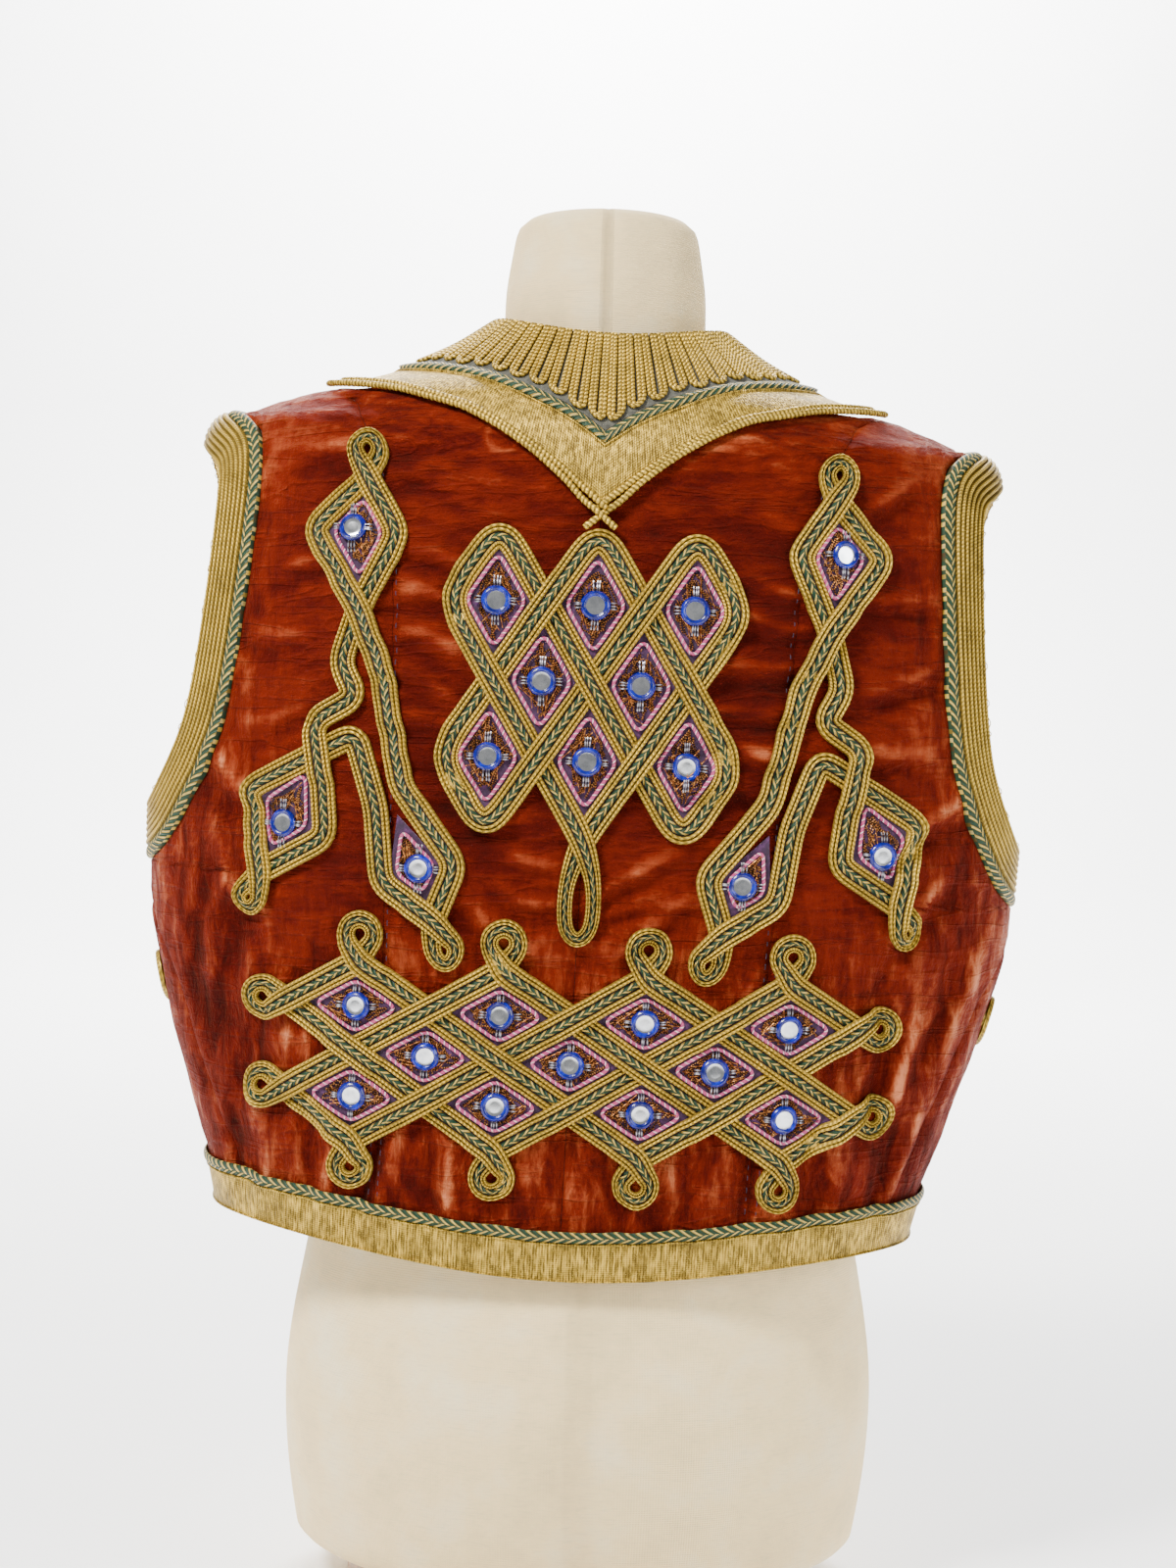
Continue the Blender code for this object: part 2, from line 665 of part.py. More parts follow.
def build_collar(looks):
    edge = refine(vee_line("edge"), 2)
    plait_low = refine(vee_line("plait_low"), 2)
    plait_high = refine(vee_line("plait_high"), 2)
    middle = (edge + plait_low) / 2
    lower = plait_low - (0, SEAM_GAP)
    strip("neck_galloon", [edge, middle, lower], TRIM_LIFT + TRIM_THICK, TRIM_THICK,
          looks["galloon"])
    strip("collar_chevron", [plait_low, plait_high], TRIM_LIFT + TRIM_THICK, TRIM_THICK,
          looks["plait"])
    far = np.abs(plait_high[:, 0]) / np.abs(plait_high[:, 0]).max()
    low = plait_high + np.stack((0 * far, COLLAR_GAP * (1 + 2.5 * far ** 4)), 1)
    share = low[:, 0] / float(back_length(VEE_SHOULDER.plait_high))
    high = np.stack((share * float(back_length(NECK_SIDE)), neck_height(low[:, 0] * 0.6)), 1)
    lines = [low + (high - low) * part for part in COLLAR_ROWS]
    strip("collar_ground", lines, TRIM_LIFT, COLLAR_THICK, looks["grey"])
    build_collar_cords(low, high, looks["cord"])


def build_collar_cords(low, high, look):
    """A comb: cord fingers side by side, joined along the neck edge."""
    fingers = len(low) - 1
    at = np.arange(len(low))
    edges = [i + shift for i in range(fingers) for shift in (FINGER_GAP, 1 - FINGER_GAP)]
    joins = [0.04] + COLLAR_ROWS[1:]
    start = np.stack([np.interp(edges, at, low[:, k]) for k in (0, 1)], 1)[:, None, :]
    end = np.stack([np.interp(edges, at, high[:, k]) for k in (0, 1)], 1)[:, None, :]
    places = start + (end - start) * np.array(joins)[None, :, None]
    lift = TRIM_LIFT + 0.6 * MM + TRIM_THICK
    outer = cloth_point(places[..., 0], places[..., 1], lift)
    inner = cloth_point(places[..., 0], places[..., 1], lift - TRIM_THICK)
    count, rows = len(edges), len(joins)
    points = np.concatenate((outer.reshape(-1, 3), inner.reshape(-1, 3)))

    def spot(line, row, layer):
        return layer * count * rows + line * rows + row

    faces = []
    for line in range(count - 1):
        lowest = 0 if line % 2 == 0 else rows - 2
        for row in range(lowest, rows - 1):
            cell = [(line, row), (line + 1, row), (line + 1, row + 1), (line, row + 1)]
            faces.append([spot(a, b, 0) for a, b in cell])
            faces.append([spot(a, b, 1) for a, b in reversed(cell)])
        for row in (lowest, rows - 1):
            faces.append([spot(line, row, 0), spot(line + 1, row, 0),
                          spot(line + 1, row, 1), spot(line, row, 1)])
    for line in range(count):
        last = rows - 1 if line in (0, count - 1) else rows - 2
        for row in range(last):
            faces.append([spot(line, row, 0), spot(line, row + 1, 0),
                          spot(line, row + 1, 1), spot(line, row, 1)])
    add_mesh("collar_cords", points, faces, look)


def round_corners(route, radius):
    """A closed route with each corner cut across; rows are place and width."""
    route = [np.array(row, float) for row in route]
    out = []
    for i, corner in enumerate(route):
        back = route[i - 1] - corner
        ahead = route[(i + 1) % len(route)] - corner
        far_back, far_ahead = np.linalg.norm(back[:2]), np.linalg.norm(ahead[:2])
        turn = np.dot(back[:2], ahead[:2]) / far_back / far_ahead
        if turn < -0.94:
            out.append(corner)
            continue
        start = corner + back * min(radius / far_back, 0.42)
        end = corner + ahead * min(radius / far_ahead, 0.42)
        out += [start, end]
    return np.array(out)


def segment_crossing(a, b, c, d):
    """Shares along ab and cd where they cross, or None."""
    r, s = b - a, d - c
    turn = r[0] * s[1] - r[1] * s[0]
    if abs(turn) < 1e-12:
        return None
    gap = c - a
    t = (gap[0] * s[1] - gap[1] * s[0]) / turn
    u = (gap[0] * r[1] - gap[1] * r[0]) / turn
    if 0 <= t < 1 and 0 <= u < 1:
        return t, u, abs(turn) / np.linalg.norm(r) / np.linalg.norm(s)
    return None


def crossings(strands):
    """Each crossing as two visits, (strand, arc length), and the sine of its angle."""
    runs = []
    for number, line in enumerate(strands):
        arc = 0
        for i in range(len(line)):
            a, b = line[i, :2], line[(i + 1) % len(line), :2]
            length = np.linalg.norm(b - a)
            runs.append((number, i, arc, length, a, b))
            arc += length
    found = []
    for i, one in enumerate(runs):
        for two in runs[i + 2:]:
            if one[0] == two[0] and one[1] == 0 and two[1] == len(strands[one[0]]) - 1:
                continue
            hit = segment_crossing(one[4], one[5], two[4], two[5])
            if hit:
                found.append(((one[0], one[2] + hit[0] * one[3]),
                              (two[0], two[2] + hit[1] * two[3]), hit[2]))
    return found


def over_passes(strands):
    """Where each strand passes over: in turn over and under, as a weaver lays it."""
    found = crossings(strands)
    visits = sorted((visit, number) for number, row in enumerate(found) for visit in row[:2])
    over = {}
    passes = [[] for _ in strands]
    lifted, last = True, None
    for (strand, arc), number in visits:
        if strand != last:
            known = [over[n] for (k, _), n in visits if k == strand and n in over]
            lifted = not known[0] if known else True
            last = strand
        if number in over:
            lifted = not over[number]
        else:
            over[number] = lifted
        if lifted:
            passes[strand].append((arc, found[number][2]))
        lifted = not lifted
    return passes


def pass_lift(arc, whole, passes, width):
    """How far a strand rises at an arc length, to clear what it crosses."""
    rise = 0.0
    for at, sine in passes:
        flat = pass_reach(sine, width)
        away = abs((arc - at + whole / 2) % whole - whole / 2)
        rise = max(rise, min(1, max(0, (flat + PASS_RAMP - away) / PASS_RAMP)))
    return rise * PASS_RISE


def pass_reach(sine, width):
    """Half the length of a crossing, measured along the strand on top."""
    cosine = (1 - min(sine, 1) ** 2) ** 0.5
    return min(width * (1 + cosine) / 2 / sine + 1.5 * MM, width * 1.15)


def braid_strand(name, line, passes, look):
    """A flat braid along a closed route, raised where it passes over."""
    ends = np.concatenate((line, line[:1]))
    arcs = np.append(0, np.cumsum(np.linalg.norm(np.diff(ends[:, :2], axis=0), axis=1)))
    whole = arcs[-1]
    stations = set(arcs[:-1])
    for at, sine in passes:
        flat = pass_reach(sine, np.interp(at, arcs, ends[:, 2]))
        for shift in (-flat - PASS_RAMP, -flat, flat, flat + PASS_RAMP):
            spot = (at + shift) % whole
            if min(abs(spot - other) for other in stations) > 2.5 * MM:
                stations.add(spot)
    stations = sorted(stations) + [whole]
    filled = []
    for here, there in zip(stations, stations[1:]):
        parts = int((there - here) // BRAID_STEP) + 1
        filled += [here + (there - here) * k / parts for k in range(parts)]
    reach = 1.5 * MM
    places = np.stack([np.interp(filled, arcs, ends[:, k]) for k in range(3)], 1)
    ways = []
    for spot in filled:
        ahead = [np.interp((spot + reach) % whole, arcs, ends[:, k]) for k in (0, 1)]
        behind = [np.interp((spot - reach) % whole, arcs, ends[:, k]) for k in (0, 1)]
        way = np.array(ahead) - np.array(behind)
        ways.append(way / np.linalg.norm(way))
    ways = np.array(ways)
    aside = np.stack((-ways[:, 1], ways[:, 0]), 1) * places[:, 2:] / 2
    edges = np.stack((places[:, :2] - aside, places[:, :2] + aside), 1)
    rise = np.array([pass_lift(f, whole, passes, w) for f, w in zip(filled, places[:, 2])])
    low = BRAID_LIFT + rise[:, None] + np.zeros((1, 2))
    outer = cloth_point(edges[..., 0], edges[..., 1], low + BRAID_THICK)
    inner = cloth_point(edges[..., 0], edges[..., 1], low)
    return wall(name, outer, inner, look, loop=True)


def tiles(name, centres, place, look):
    """Diamond tiles side by side as one piece of cloth, each cut in four."""
    spots, cells = {}, []
    for i, j in centres:
        u, v = i + j, i - j
        for du in (-1, 0):
            for dv in (-1, 0):
                corners = [(u + du, v + dv), (u + du + 1, v + dv),
                           (u + du + 1, v + dv + 1), (u + du, v + dv + 1)]
                cells.append([spots.setdefault(c, len(spots)) for c in corners])
    flat = to_cloth([place(((u + v) / 2, (u - v) / 2)) for u, v in spots])
    along, height = np.array(flat).T
    points = np.concatenate((cloth_point(along, height, GROUND_LIFT + GROUND_THICK),
                             cloth_point(along, height, GROUND_LIFT)))
    count = len(spots)
    faces = cells + [[n + count for n in reversed(cell)] for cell in cells]
    edges = [(cell[k], cell[(k + 1) % 4]) for cell in cells for k in range(4)]
    for a, b in edges:
        if (b, a) not in edges:
            faces.append([b, a, a + count, b + count])
    return add_mesh(name, points, faces, look)


def to_cloth(points):
    """Places given across and up, as places along the cloth."""
    return [(along_at(x, z), z) for x, z in points]


def knot_place(step):
    return step[0] * KNOT_HALF_WIDE, KNOT_CENTRE + step[1] * KNOT_HALF_HIGH


def lattice_place(step):
    return step[0] * LATTICE_HALF_WIDE, LATTICE_CENTRE + step[1] * LATTICE_HALF_HIGH


def widened(points, width=BRAID_WIDTH):
    return [(along, height, width) for along, height in to_cloth(points)]


def knot_route():
    """One strand, crossing itself from corner to corner, with a drop below."""
    half = [knot_place(s) for s in ((0, 2), (3, -1), (2, -2), (-2, 2), (-3, 1), (0, -2))]
    drop = [(0.0075, 0.408), (0.0075, 0.384), (0.0, 0.376), (-0.0075, 0.384), (-0.0075, 0.408)]
    back = [(-x, z) for x, z in reversed(half)]
    return widened(half) + widened(drop, DROP_WIDTH) + widened(back[:-1])


def lattice_routes():
    """Two closed strands; at each outer corner the braid makes a small round loop."""
    routes = []
    strands = [((1, 2), (4, -1), (3, -2), (-1, 2), (-4, -1), (-3, -2)),
               ((3, 2), (4, 1), (1, -2), (-3, 2), (-4, 1), (-1, -2))]
    for corners in strands:
        places = [np.array(p) for p in to_cloth([lattice_place(s) for s in corners])]
        route = []
        for i, corner in enumerate(places):
            before, after = places[i - 1], places[(i + 1) % len(places)]
            into = (corner - before) / np.linalg.norm(corner - before)
            out_of = (after - corner) / np.linalg.norm(after - corner)
            away = into - out_of
            away = away / np.linalg.norm(away)
            centre = corner + away * LOOP_REACH
            side = np.sign(into[0] * away[1] - into[1] * away[0])
            start = np.arctan2(-away[1], -away[0])
            route.append((*(corner - into * MM), BRAID_WIDTH))
            for turn in (80, 130, 180, 230, 280):
                angle = start + side * radians(turn)
                spot = centre + LOOP_RADIUS * np.array((cos(angle), sin(angle)))
                route.append((*spot, LOOP_WIDTH))
            route.append((*(corner + out_of * MM), BRAID_WIDTH))
        routes.append(route)
    return routes


def build_motifs(look):
    groups = {"motif_centre": [round_corners(knot_route(), 15 * MM)]}
    groups["motif_lower"] = [np.array(route) for route in lattice_routes()]
    for word, side in SIDES:
        places = to_cloth([(c.across * side, c.height) for c in SIDE_MOTIF])
        route = [(*place, c.wide) for place, c in zip(places, SIDE_MOTIF)]
        groups["motif_side_" + word] = [round_corners(route, 6 * MM)]
        route = [(c.across * side, c.height, c.wide) for c in FRONT_MOTIF]
        groups["motif_front_" + word] = [round_corners(route, 9 * MM)]
    for name, strands in groups.items():
        for number, (line, passes) in enumerate(zip(strands, over_passes(strands))):
            ending = "_" + "ab"[number] if len(strands) > 1 else ""
            braid_strand(name + ending, line, passes, look)


def build_grounds(look):
    """Dark cloth under the openings of the knot and the lattice."""
    tiles("ground_centre", KNOT_MIRRORS, knot_place, look)
    tiles("ground_lower", LATTICE_MIRRORS, lattice_place, look)


def mirror_places():
    places = [knot_place(s) for s in KNOT_MIRRORS] + [lattice_place(s) for s in LATTICE_MIRRORS]
    for _, side in SIDES:
        places += [(m.across * side, m.height) for m in SIDE_MIRRORS]
    return to_cloth(places)


def build_mirrors(look):
    """Round mirrors in their rings, each a low disc standing on the cloth."""
    sides = MIRROR_SIDES
    for i, (along, height) in enumerate(mirror_places()):
        foot = cloth_point(along, height, MIRROR_LIFT)
        top = cloth_point(along, height, MIRROR_LIFT + MIRROR_THICK)
        up = (top - foot) / np.linalg.norm(top - foot)
        across = np.cross(up, (0, 0, 1))
        across /= np.linalg.norm(across)
        rise = np.cross(across, up)
        around = [across * cos(a) + rise * sin(a) for a in np.arange(sides) * 2 * pi / sides]
        points = [centre + MIRROR_RADIUS * way for centre in (foot, top) for way in around]
        faces = [list(range(sides))[::-1], list(range(sides, 2 * sides))]
        for k in range(sides):
            b = (k + 1) % sides
            faces.append([k, b, b + sides, k + sides])
        add_mesh(f"mirror_{i:02d}", points, faces, look)


def build_form(cloth, wood):
    """The stuffed torso, lofted through its sections, on a round wooden foot."""
    heights = [row.height for row in FORM_RINGS]
    levels = sorted(set(heights) | {(a + b) / 2 for a, b in zip(heights, heights[1:])
                                    if b - a > 0.05})
    points = []
    for z in levels:
        wide = column(FORM_RINGS, "half_width", z)
        power = 2 / column(FORM_RINGS, "squareness", z)
        for k in range(FORM_SIDES):
            a = 2 * pi * k / FORM_SIDES
            deep = column(FORM_RINGS, "back" if cos(a) >= 0 else "front", z)
            x = wide * np.sign(sin(a)) * abs(sin(a)) ** power
            y = deep * np.sign(cos(a)) * abs(cos(a)) ** power
            points.append((x, y, z))
    faces = [list(range(FORM_SIDES))]
    last = (len(levels) - 1) * FORM_SIDES
    faces.append([last + k for k in range(FORM_SIDES)])
    for ring in range(len(levels) - 1):
        for k in range(FORM_SIDES):
            a = ring * FORM_SIDES + k
            b = ring * FORM_SIDES + (k + 1) % FORM_SIDES
            faces.append([a, b, b + FORM_SIDES, a + FORM_SIDES])
    add_mesh("form_torso", points, faces, cloth)
    bpy.ops.mesh.primitive_cylinder_add(vertices=32, radius=FOOT_RADIUS, depth=FOOT_THICK,
                                        location=(0, 0, FOOT_THICK / 2))
    foot = bpy.context.active_object
    foot.name = "form_foot"
    foot.data.materials.append(wood)
    bevel = foot.modifiers.new("edge", "BEVEL")
    bevel.width = 3 * MM
    bevel.segments = 1
    bevel.limit_method = "ANGLE"
    for group in foot.users_collection:
        group.objects.unlink(foot)
    VEST_PARTS.objects.link(foot)


def new_collection(name):
    made = bpy.data.collections.new(name)
    bpy.context.scene.collection.children.link(made)
    return made


def build():
    looks = {
        "velvet": material("velvet", (0.28, 0.03, 0.01), 0.75, 0),
        "lining": material("black_cotton", (0.01, 0.01, 0.012), 0.9, 0),
        "braid": material("gold_braid", (0.42, 0.29, 0.07), 0.5, 0.3),
        "cord": material("gold_cord", (0.46, 0.33, 0.10), 0.5, 0.3),
        "plait": material("green_gold_plait", (0.12, 0.19, 0.08), 0.6, 0.2),
        "galloon": material("woven_gold_band", (0.30, 0.22, 0.07), 0.5, 0.3),
        "grey": material("grey_wool", (0.13, 0.13, 0.12), 0.95, 0),
        "purple": material("purple_cloth", (0.06, 0.012, 0.06), 0.8, 0),
        "mirror": material("mirror_in_blue_ring", (0.02, 0.09, 0.70), 0.2, 0.2),
        "linen": material("form_linen", (0.62, 0.55, 0.43), 0.9, 0),
        "wood": material("beech", (0.45, 0.28, 0.14), 0.5, 0),
    }
    build_form(looks["linen"], looks["wood"])
    for word, side in SIDES:
        build_back_centre("back_centre_" + word, side, looks["velvet"])
        build_back_side("back_side_" + word, side, looks["velvet"])
        build_front("front_" + word, side, looks["velvet"])
        build_armhole_trim(word, side, looks["braid"], looks["plait"])
        build_front_galloon(word, side, looks["galloon"])
    build_lining(looks["lining"])
    build_hem(looks["galloon"], looks["plait"])
    build_collar(looks)
    build_motifs(looks["braid"])
    build_grounds(looks["purple"])
    build_mirrors(looks["mirror"])


SIDES = (("left", 1), ("right", -1))
for old in list(bpy.data.objects):
    bpy.data.objects.remove(old, do_unlink=True)
VEST_PARTS = new_collection("embroidered_vest_on_dress_form")
build()
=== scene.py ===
"""Embroidered velvet folk vest on a limbless dress form: the finished looks.

Frame: +Z up, the back of the vest towards +Y, the wearer's left towards +X. Metres.
A place on the cloth is (along, height): the distance along the cloth from the centre
back, positive to the wearer's left, and the height. Every piece of cloth, braid and cord
is laid on that one surface, at its own lift above it.
"""
import json
import random
from collections import namedtuple
from functools import partial
from math import cos, pi, radians, sin

import bpy
import numpy as np
from bpy.types import Operator, Panel, PropertyGroup
from mathutils import Matrix, Vector, noise
from numpy.linalg import norm

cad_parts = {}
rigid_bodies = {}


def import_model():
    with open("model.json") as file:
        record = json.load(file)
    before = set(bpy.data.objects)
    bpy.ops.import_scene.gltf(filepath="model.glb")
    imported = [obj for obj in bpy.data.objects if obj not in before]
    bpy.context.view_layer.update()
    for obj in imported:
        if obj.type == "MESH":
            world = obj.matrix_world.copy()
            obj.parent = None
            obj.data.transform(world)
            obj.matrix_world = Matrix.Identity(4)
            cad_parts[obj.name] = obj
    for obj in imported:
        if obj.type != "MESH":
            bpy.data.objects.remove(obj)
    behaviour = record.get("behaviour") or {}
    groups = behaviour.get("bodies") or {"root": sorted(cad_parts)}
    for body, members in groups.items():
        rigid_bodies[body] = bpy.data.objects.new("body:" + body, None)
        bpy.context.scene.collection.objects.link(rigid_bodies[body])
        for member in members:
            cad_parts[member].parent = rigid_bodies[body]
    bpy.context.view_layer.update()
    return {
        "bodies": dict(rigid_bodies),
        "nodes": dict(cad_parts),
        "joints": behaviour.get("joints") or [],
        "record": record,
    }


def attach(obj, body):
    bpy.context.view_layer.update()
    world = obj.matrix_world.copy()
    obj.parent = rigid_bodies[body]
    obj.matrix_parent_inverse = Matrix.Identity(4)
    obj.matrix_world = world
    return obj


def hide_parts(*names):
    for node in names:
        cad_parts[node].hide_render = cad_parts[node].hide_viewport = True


bl_info = {
    "name": "Embroidered vest on dress form",
    "version": (1, 0, 0),
    "blender": (4, 5, 0),
    "location": "View3D > Sidebar > Vest",
    "description": "Builds the cloth, braid, mirrors and form of a folk vest, piece by piece",
    "category": "Add Mesh",
}

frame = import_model()
MM = 0.001

# The vest's sizes
SEAM_GAP = 0.3 * MM
VELVET_THICK = 3.0 * MM
LINING_TOP = -6.2 * MM
LINING_THICK = 1.0 * MM
LINING_REACH = 31.5 * MM
LINING_SHOULDER = 0.63
GROUND_LIFT = 0.5 * MM
BRAID_LIFT = 1.4 * MM
BRAID_WIDTH = 15.5 * MM
TRIM_LIFT = 1.2 * MM
ROWS_WIDTH = 24.0 * MM
CHEVRON_WIDTH = 6.0 * MM
GALLOON_WIDTH = 21.0 * MM
MIRROR_LIFT = 1.9 * MM
HANG_SLOPE = 0.03
HANG_PIVOT = 0.6
HEM_BACK = 0.196
HEM_SIDE = 0.212
HEM_REACH = 0.2
HEM_FADE = (0.24, 0.31)
NECK_BACK = 0.7
NECK_SIDE = 0.7125
VELVET_TOP = 0.676
SHOULDER_ROW = 0.668
FINGERS = 28
BAND_SHORTER = 16
PIN_PLACE = (0.052, 0.1, 0.64)
PANEL_LOW = HEM_BACK + 0.009
VEE_START = 0.575
PASS_RISE = 2.2 * MM
PASS_RAMP = 4.0 * MM
DROP_WIDTH = 9.0 * MM
LOOP_WIDTH = 11.0 * MM
COLLAR_GAP = 1.2 * MM
NECK_BAND_WIDTH = 22.0 * MM
CREASE_GAIN = 2.6
MIRROR_SIDES = 36
BACKDROP_FAR = -3.8
SIDES = (("left", 1), ("right", -1))

# Horizontal sections of the vest: half the width, depth behind and in front of the
# side line, and how square the corners are (2 is an ellipse).
Ring = namedtuple("Ring", "height half_width back front squareness")
VEST_RINGS = [Ring(*row) for row in (
    (0.19, 0.195, 0.106, 0.116, 2.4),
    (0.215, 0.198, 0.107, 0.117, 2.4),
    (0.24, 0.2045, 0.109, 0.118, 2.4),
    (0.265, 0.213, 0.111, 0.121, 2.4),
    (0.3, 0.222, 0.112, 0.122, 2.4),
    (0.34, 0.232, 0.112, 0.124, 2.4),
    (0.375, 0.241, 0.115, 0.125, 2.4),
    (0.405, 0.245, 0.117, 0.126, 2.4),
    (0.435, 0.246, 0.118, 0.127, 2.4),
    (0.485, 0.237, 0.119, 0.127, 2.4),
    (0.56, 0.23, 0.117, 0.12, 2.4),
    (0.61, 0.227, 0.111, 0.112, 2.35),
    (0.64, 0.2245, 0.105, 0.104, 2.2),
    (0.65, 0.22, 0.101, 0.1, 2.1),
    (0.656, 0.202, 0.098, 0.096, 2.00),
    (0.663, 0.186, 0.095, 0.092, 1.95),
    (0.67, 0.163, 0.09, 0.086, 1.9),
    (0.675, 0.138, 0.087, 0.082, 1.85),
    (0.686, 0.113, 0.08, 0.076, 1.85),
    (0.697, 0.09, 0.073, 0.07, 1.9),
    (0.7125, 0.066, 0.066, 0.066, 2.00),
)]

# Where the velvet stops round the armhole, behind and in front of the side line.
Armhole = namedtuple("Armhole", "height back front")
ARMHOLE = [Armhole(*row) for row in (
    (0.4, 0.000, 0.000),
    (0.405, 0.036, 0.032),
    (0.419, 0.063, 0.055),
    (0.455, 0.086, 0.072),
    (0.5, 0.092, 0.076),
    (0.56, 0.093, 0.073),
    (0.61, 0.089, 0.064),
    (0.64, 0.076, 0.05),
    (0.65, 0.052, 0.034),
    (0.656, 0.000, 0.000),
)]

# The seams that shape the back, and the fronts' open edge.
Seam = namedtuple("Seam", "height across")
SIDE_BACK_SEAM = [Seam(*row) for row in (
    (0.2, 0.1),
    (0.3, 0.101),
    (0.41, 0.103),
    (0.51, 0.105),
    (0.57, 0.108),
    (0.64, 0.125),
    (0.676, 0.136),
)]
FRONT_EDGE = [
    Seam(0.2, 0.03),
    Seam(0.4, 0.034),
    Seam(0.56, 0.052),
    Seam(0.67, 0.076),
    Seam(0.712, 0.062),
]

# The underarm seam, as its distance behind the side line.
SideSeam = namedtuple("SideSeam", "height behind")
UNDERARM_SEAM = [
    SideSeam(0.2, 0.066),
    SideSeam(0.3, 0.06),
    SideSeam(0.35, 0.046),
    SideSeam(0.385, 0.014),
    SideSeam(0.4, 0.000),
]

# The V under the collar, as heights at each distance from the centre back: the lowest
# edge, the galloon's lower edge, and the two edges of the plaited braid.
Vee = namedtuple("Vee", "across edge cords plait_low plait_high")
VEE = [Vee(*row) for row in (
    (0.000, 0.596, 0.608, 0.6375, 0.6435),
    (0.009, 0.603, 0.615, 0.644, 0.65),
    (0.02, 0.615, 0.624, 0.651, 0.657),
    (0.044, 0.635, 0.64, 0.6625, 0.668),
    (0.07, 0.649, 0.654, 0.672, 0.677),
    (0.095, 0.6575, 0.662, 0.6775, 0.682),
    (0.115, 0.662, 0.667, 0.681, 0.685),
)]
VEE_SHOULDER = Vee(0.138, 0.67, 0.674, 0.685, 0.689)

# Soft vertical folds, widest at the sides and over the hem: where they are, how long,
# how wide and how far they stand out.
Fold = namedtuple("Fold", "along height long wide out")
FOLDS = [
    Fold(0.226, 0.335, 0.1, 0.034, 3.5 * MM),
    Fold(0.285, 0.34, 0.1, 0.034, 3.0 * MM),
    Fold(-0.222, 0.338, 0.1, 0.034, 3.0 * MM),
    Fold(-0.282, 0.345, 0.1, 0.034, 3.5 * MM),
]

# The dress form's sections.
FORM_RINGS = [Ring(*row) for row in (
    (0.0245, 0.15, 0.1, 0.098, 2.1),
    (0.032, 0.16, 0.108, 0.106, 2.1),
    (0.11, 0.168, 0.112, 0.108, 2.1),
    (0.2, 0.156, 0.096, 0.096, 2.1),
    (0.3, 0.13, 0.08, 0.088, 2.1),
    (0.4, 0.142, 0.088, 0.106, 2.1),
    (0.5, 0.156, 0.096, 0.112, 2.1),
    (0.58, 0.168, 0.09, 0.092, 2.1),
    (0.625, 0.166, 0.078, 0.076, 2.1),
    (0.645, 0.146, 0.066, 0.064, 2.1),
    (0.66, 0.108, 0.057, 0.056, 2.1),
    (0.674, 0.078, 0.056, 0.055, 2.05),
    (0.69, 0.061, 0.0565, 0.056, 2.0),
    (0.706, 0.0575, 0.056, 0.056, 2.0),
    (0.73, 0.057, 0.056, 0.056, 2.0),
    (0.757, 0.0535, 0.0535, 0.0535, 2.0),
    (0.769, 0.051, 0.051, 0.051, 2.0),
    (0.774, 0.046, 0.046, 0.046, 2.0),
)]

FOOT_RADIUS = 0.13
FOOT_THICK = 0.024

# The motifs' corners, in metres from the centre back and up.
KNOT_CENTRE = 0.512
KNOT_HALF_WIDE = 0.0258
KNOT_HALF_HIGH = 0.0405
LATTICE_CENTRE = 0.312
LATTICE_HALF_WIDE = 0.038
LATTICE_HALF_HIGH = 0.024
LOOP_REACH = 14.5 * MM
LOOP_RADIUS = 8.5 * MM
Corner = namedtuple("Corner", "across height wide", defaults=(BRAID_WIDTH,))
SIDE_MOTIF = [Corner(*row) for row in (
    (0.125, 0.639, 0.01),
    (0.133, 0.63, 0.01),
    (0.1235, 0.615),
    (0.105, 0.585),
    (0.1235, 0.545),
    (0.132, 0.516),
    (0.1225, 0.4985),
    (0.1445, 0.485),
    (0.138, 0.451),
    (0.135, 0.424),
    (0.169, 0.4036),
    (0.182, 0.3905, 0.01),
    (0.1765, 0.381, 0.01),
    (0.168, 0.3875, 0.01),
    (0.169, 0.4036),
    (0.178, 0.447),
    (0.122, 0.479),
    (0.109, 0.442),
    (0.104, 0.402),
    (0.076, 0.3845),
    (0.061, 0.37, 0.01),
    (0.067, 0.359, 0.01),
    (0.0755, 0.366, 0.01),
    (0.076, 0.3845),
    (0.0655, 0.414),
    (0.0965, 0.4535),
    (0.11, 0.513),
    (0.1235, 0.545),
    (0.151, 0.586),
    (0.1235, 0.615),
    (0.116, 0.63, 0.01),
)]
FRONT_MOTIF = [Corner(*row) for row in (
    (0.266, 0.335, 0.01),
    (0.284, 0.321, 0.01),
    (0.316, 0.35),
    (0.35, 0.328),
    (0.316, 0.306),
    (0.284, 0.349, 0.01),
)]

# Mirrors of the knot and the lattice, in half steps; those of a side motif, in metres.
KNOT_MIRRORS = [(-2, 1), (0, 1), (2, 1), (-1, 0), (1, 0), (-2, -1), (0, -1), (2, -1)]
LATTICE_MIRRORS = [(-3, 1), (-1, 1), (1, 1), (3, 1), (-2, 0), (0, 0), (2, 0),
                   (-3, -1), (-1, -1), (1, -1), (3, -1)]
SIDE_MIRRORS = [Corner(0.129, 0.587), Corner(0.158, 0.43), Corner(0.0845, 0.411)]


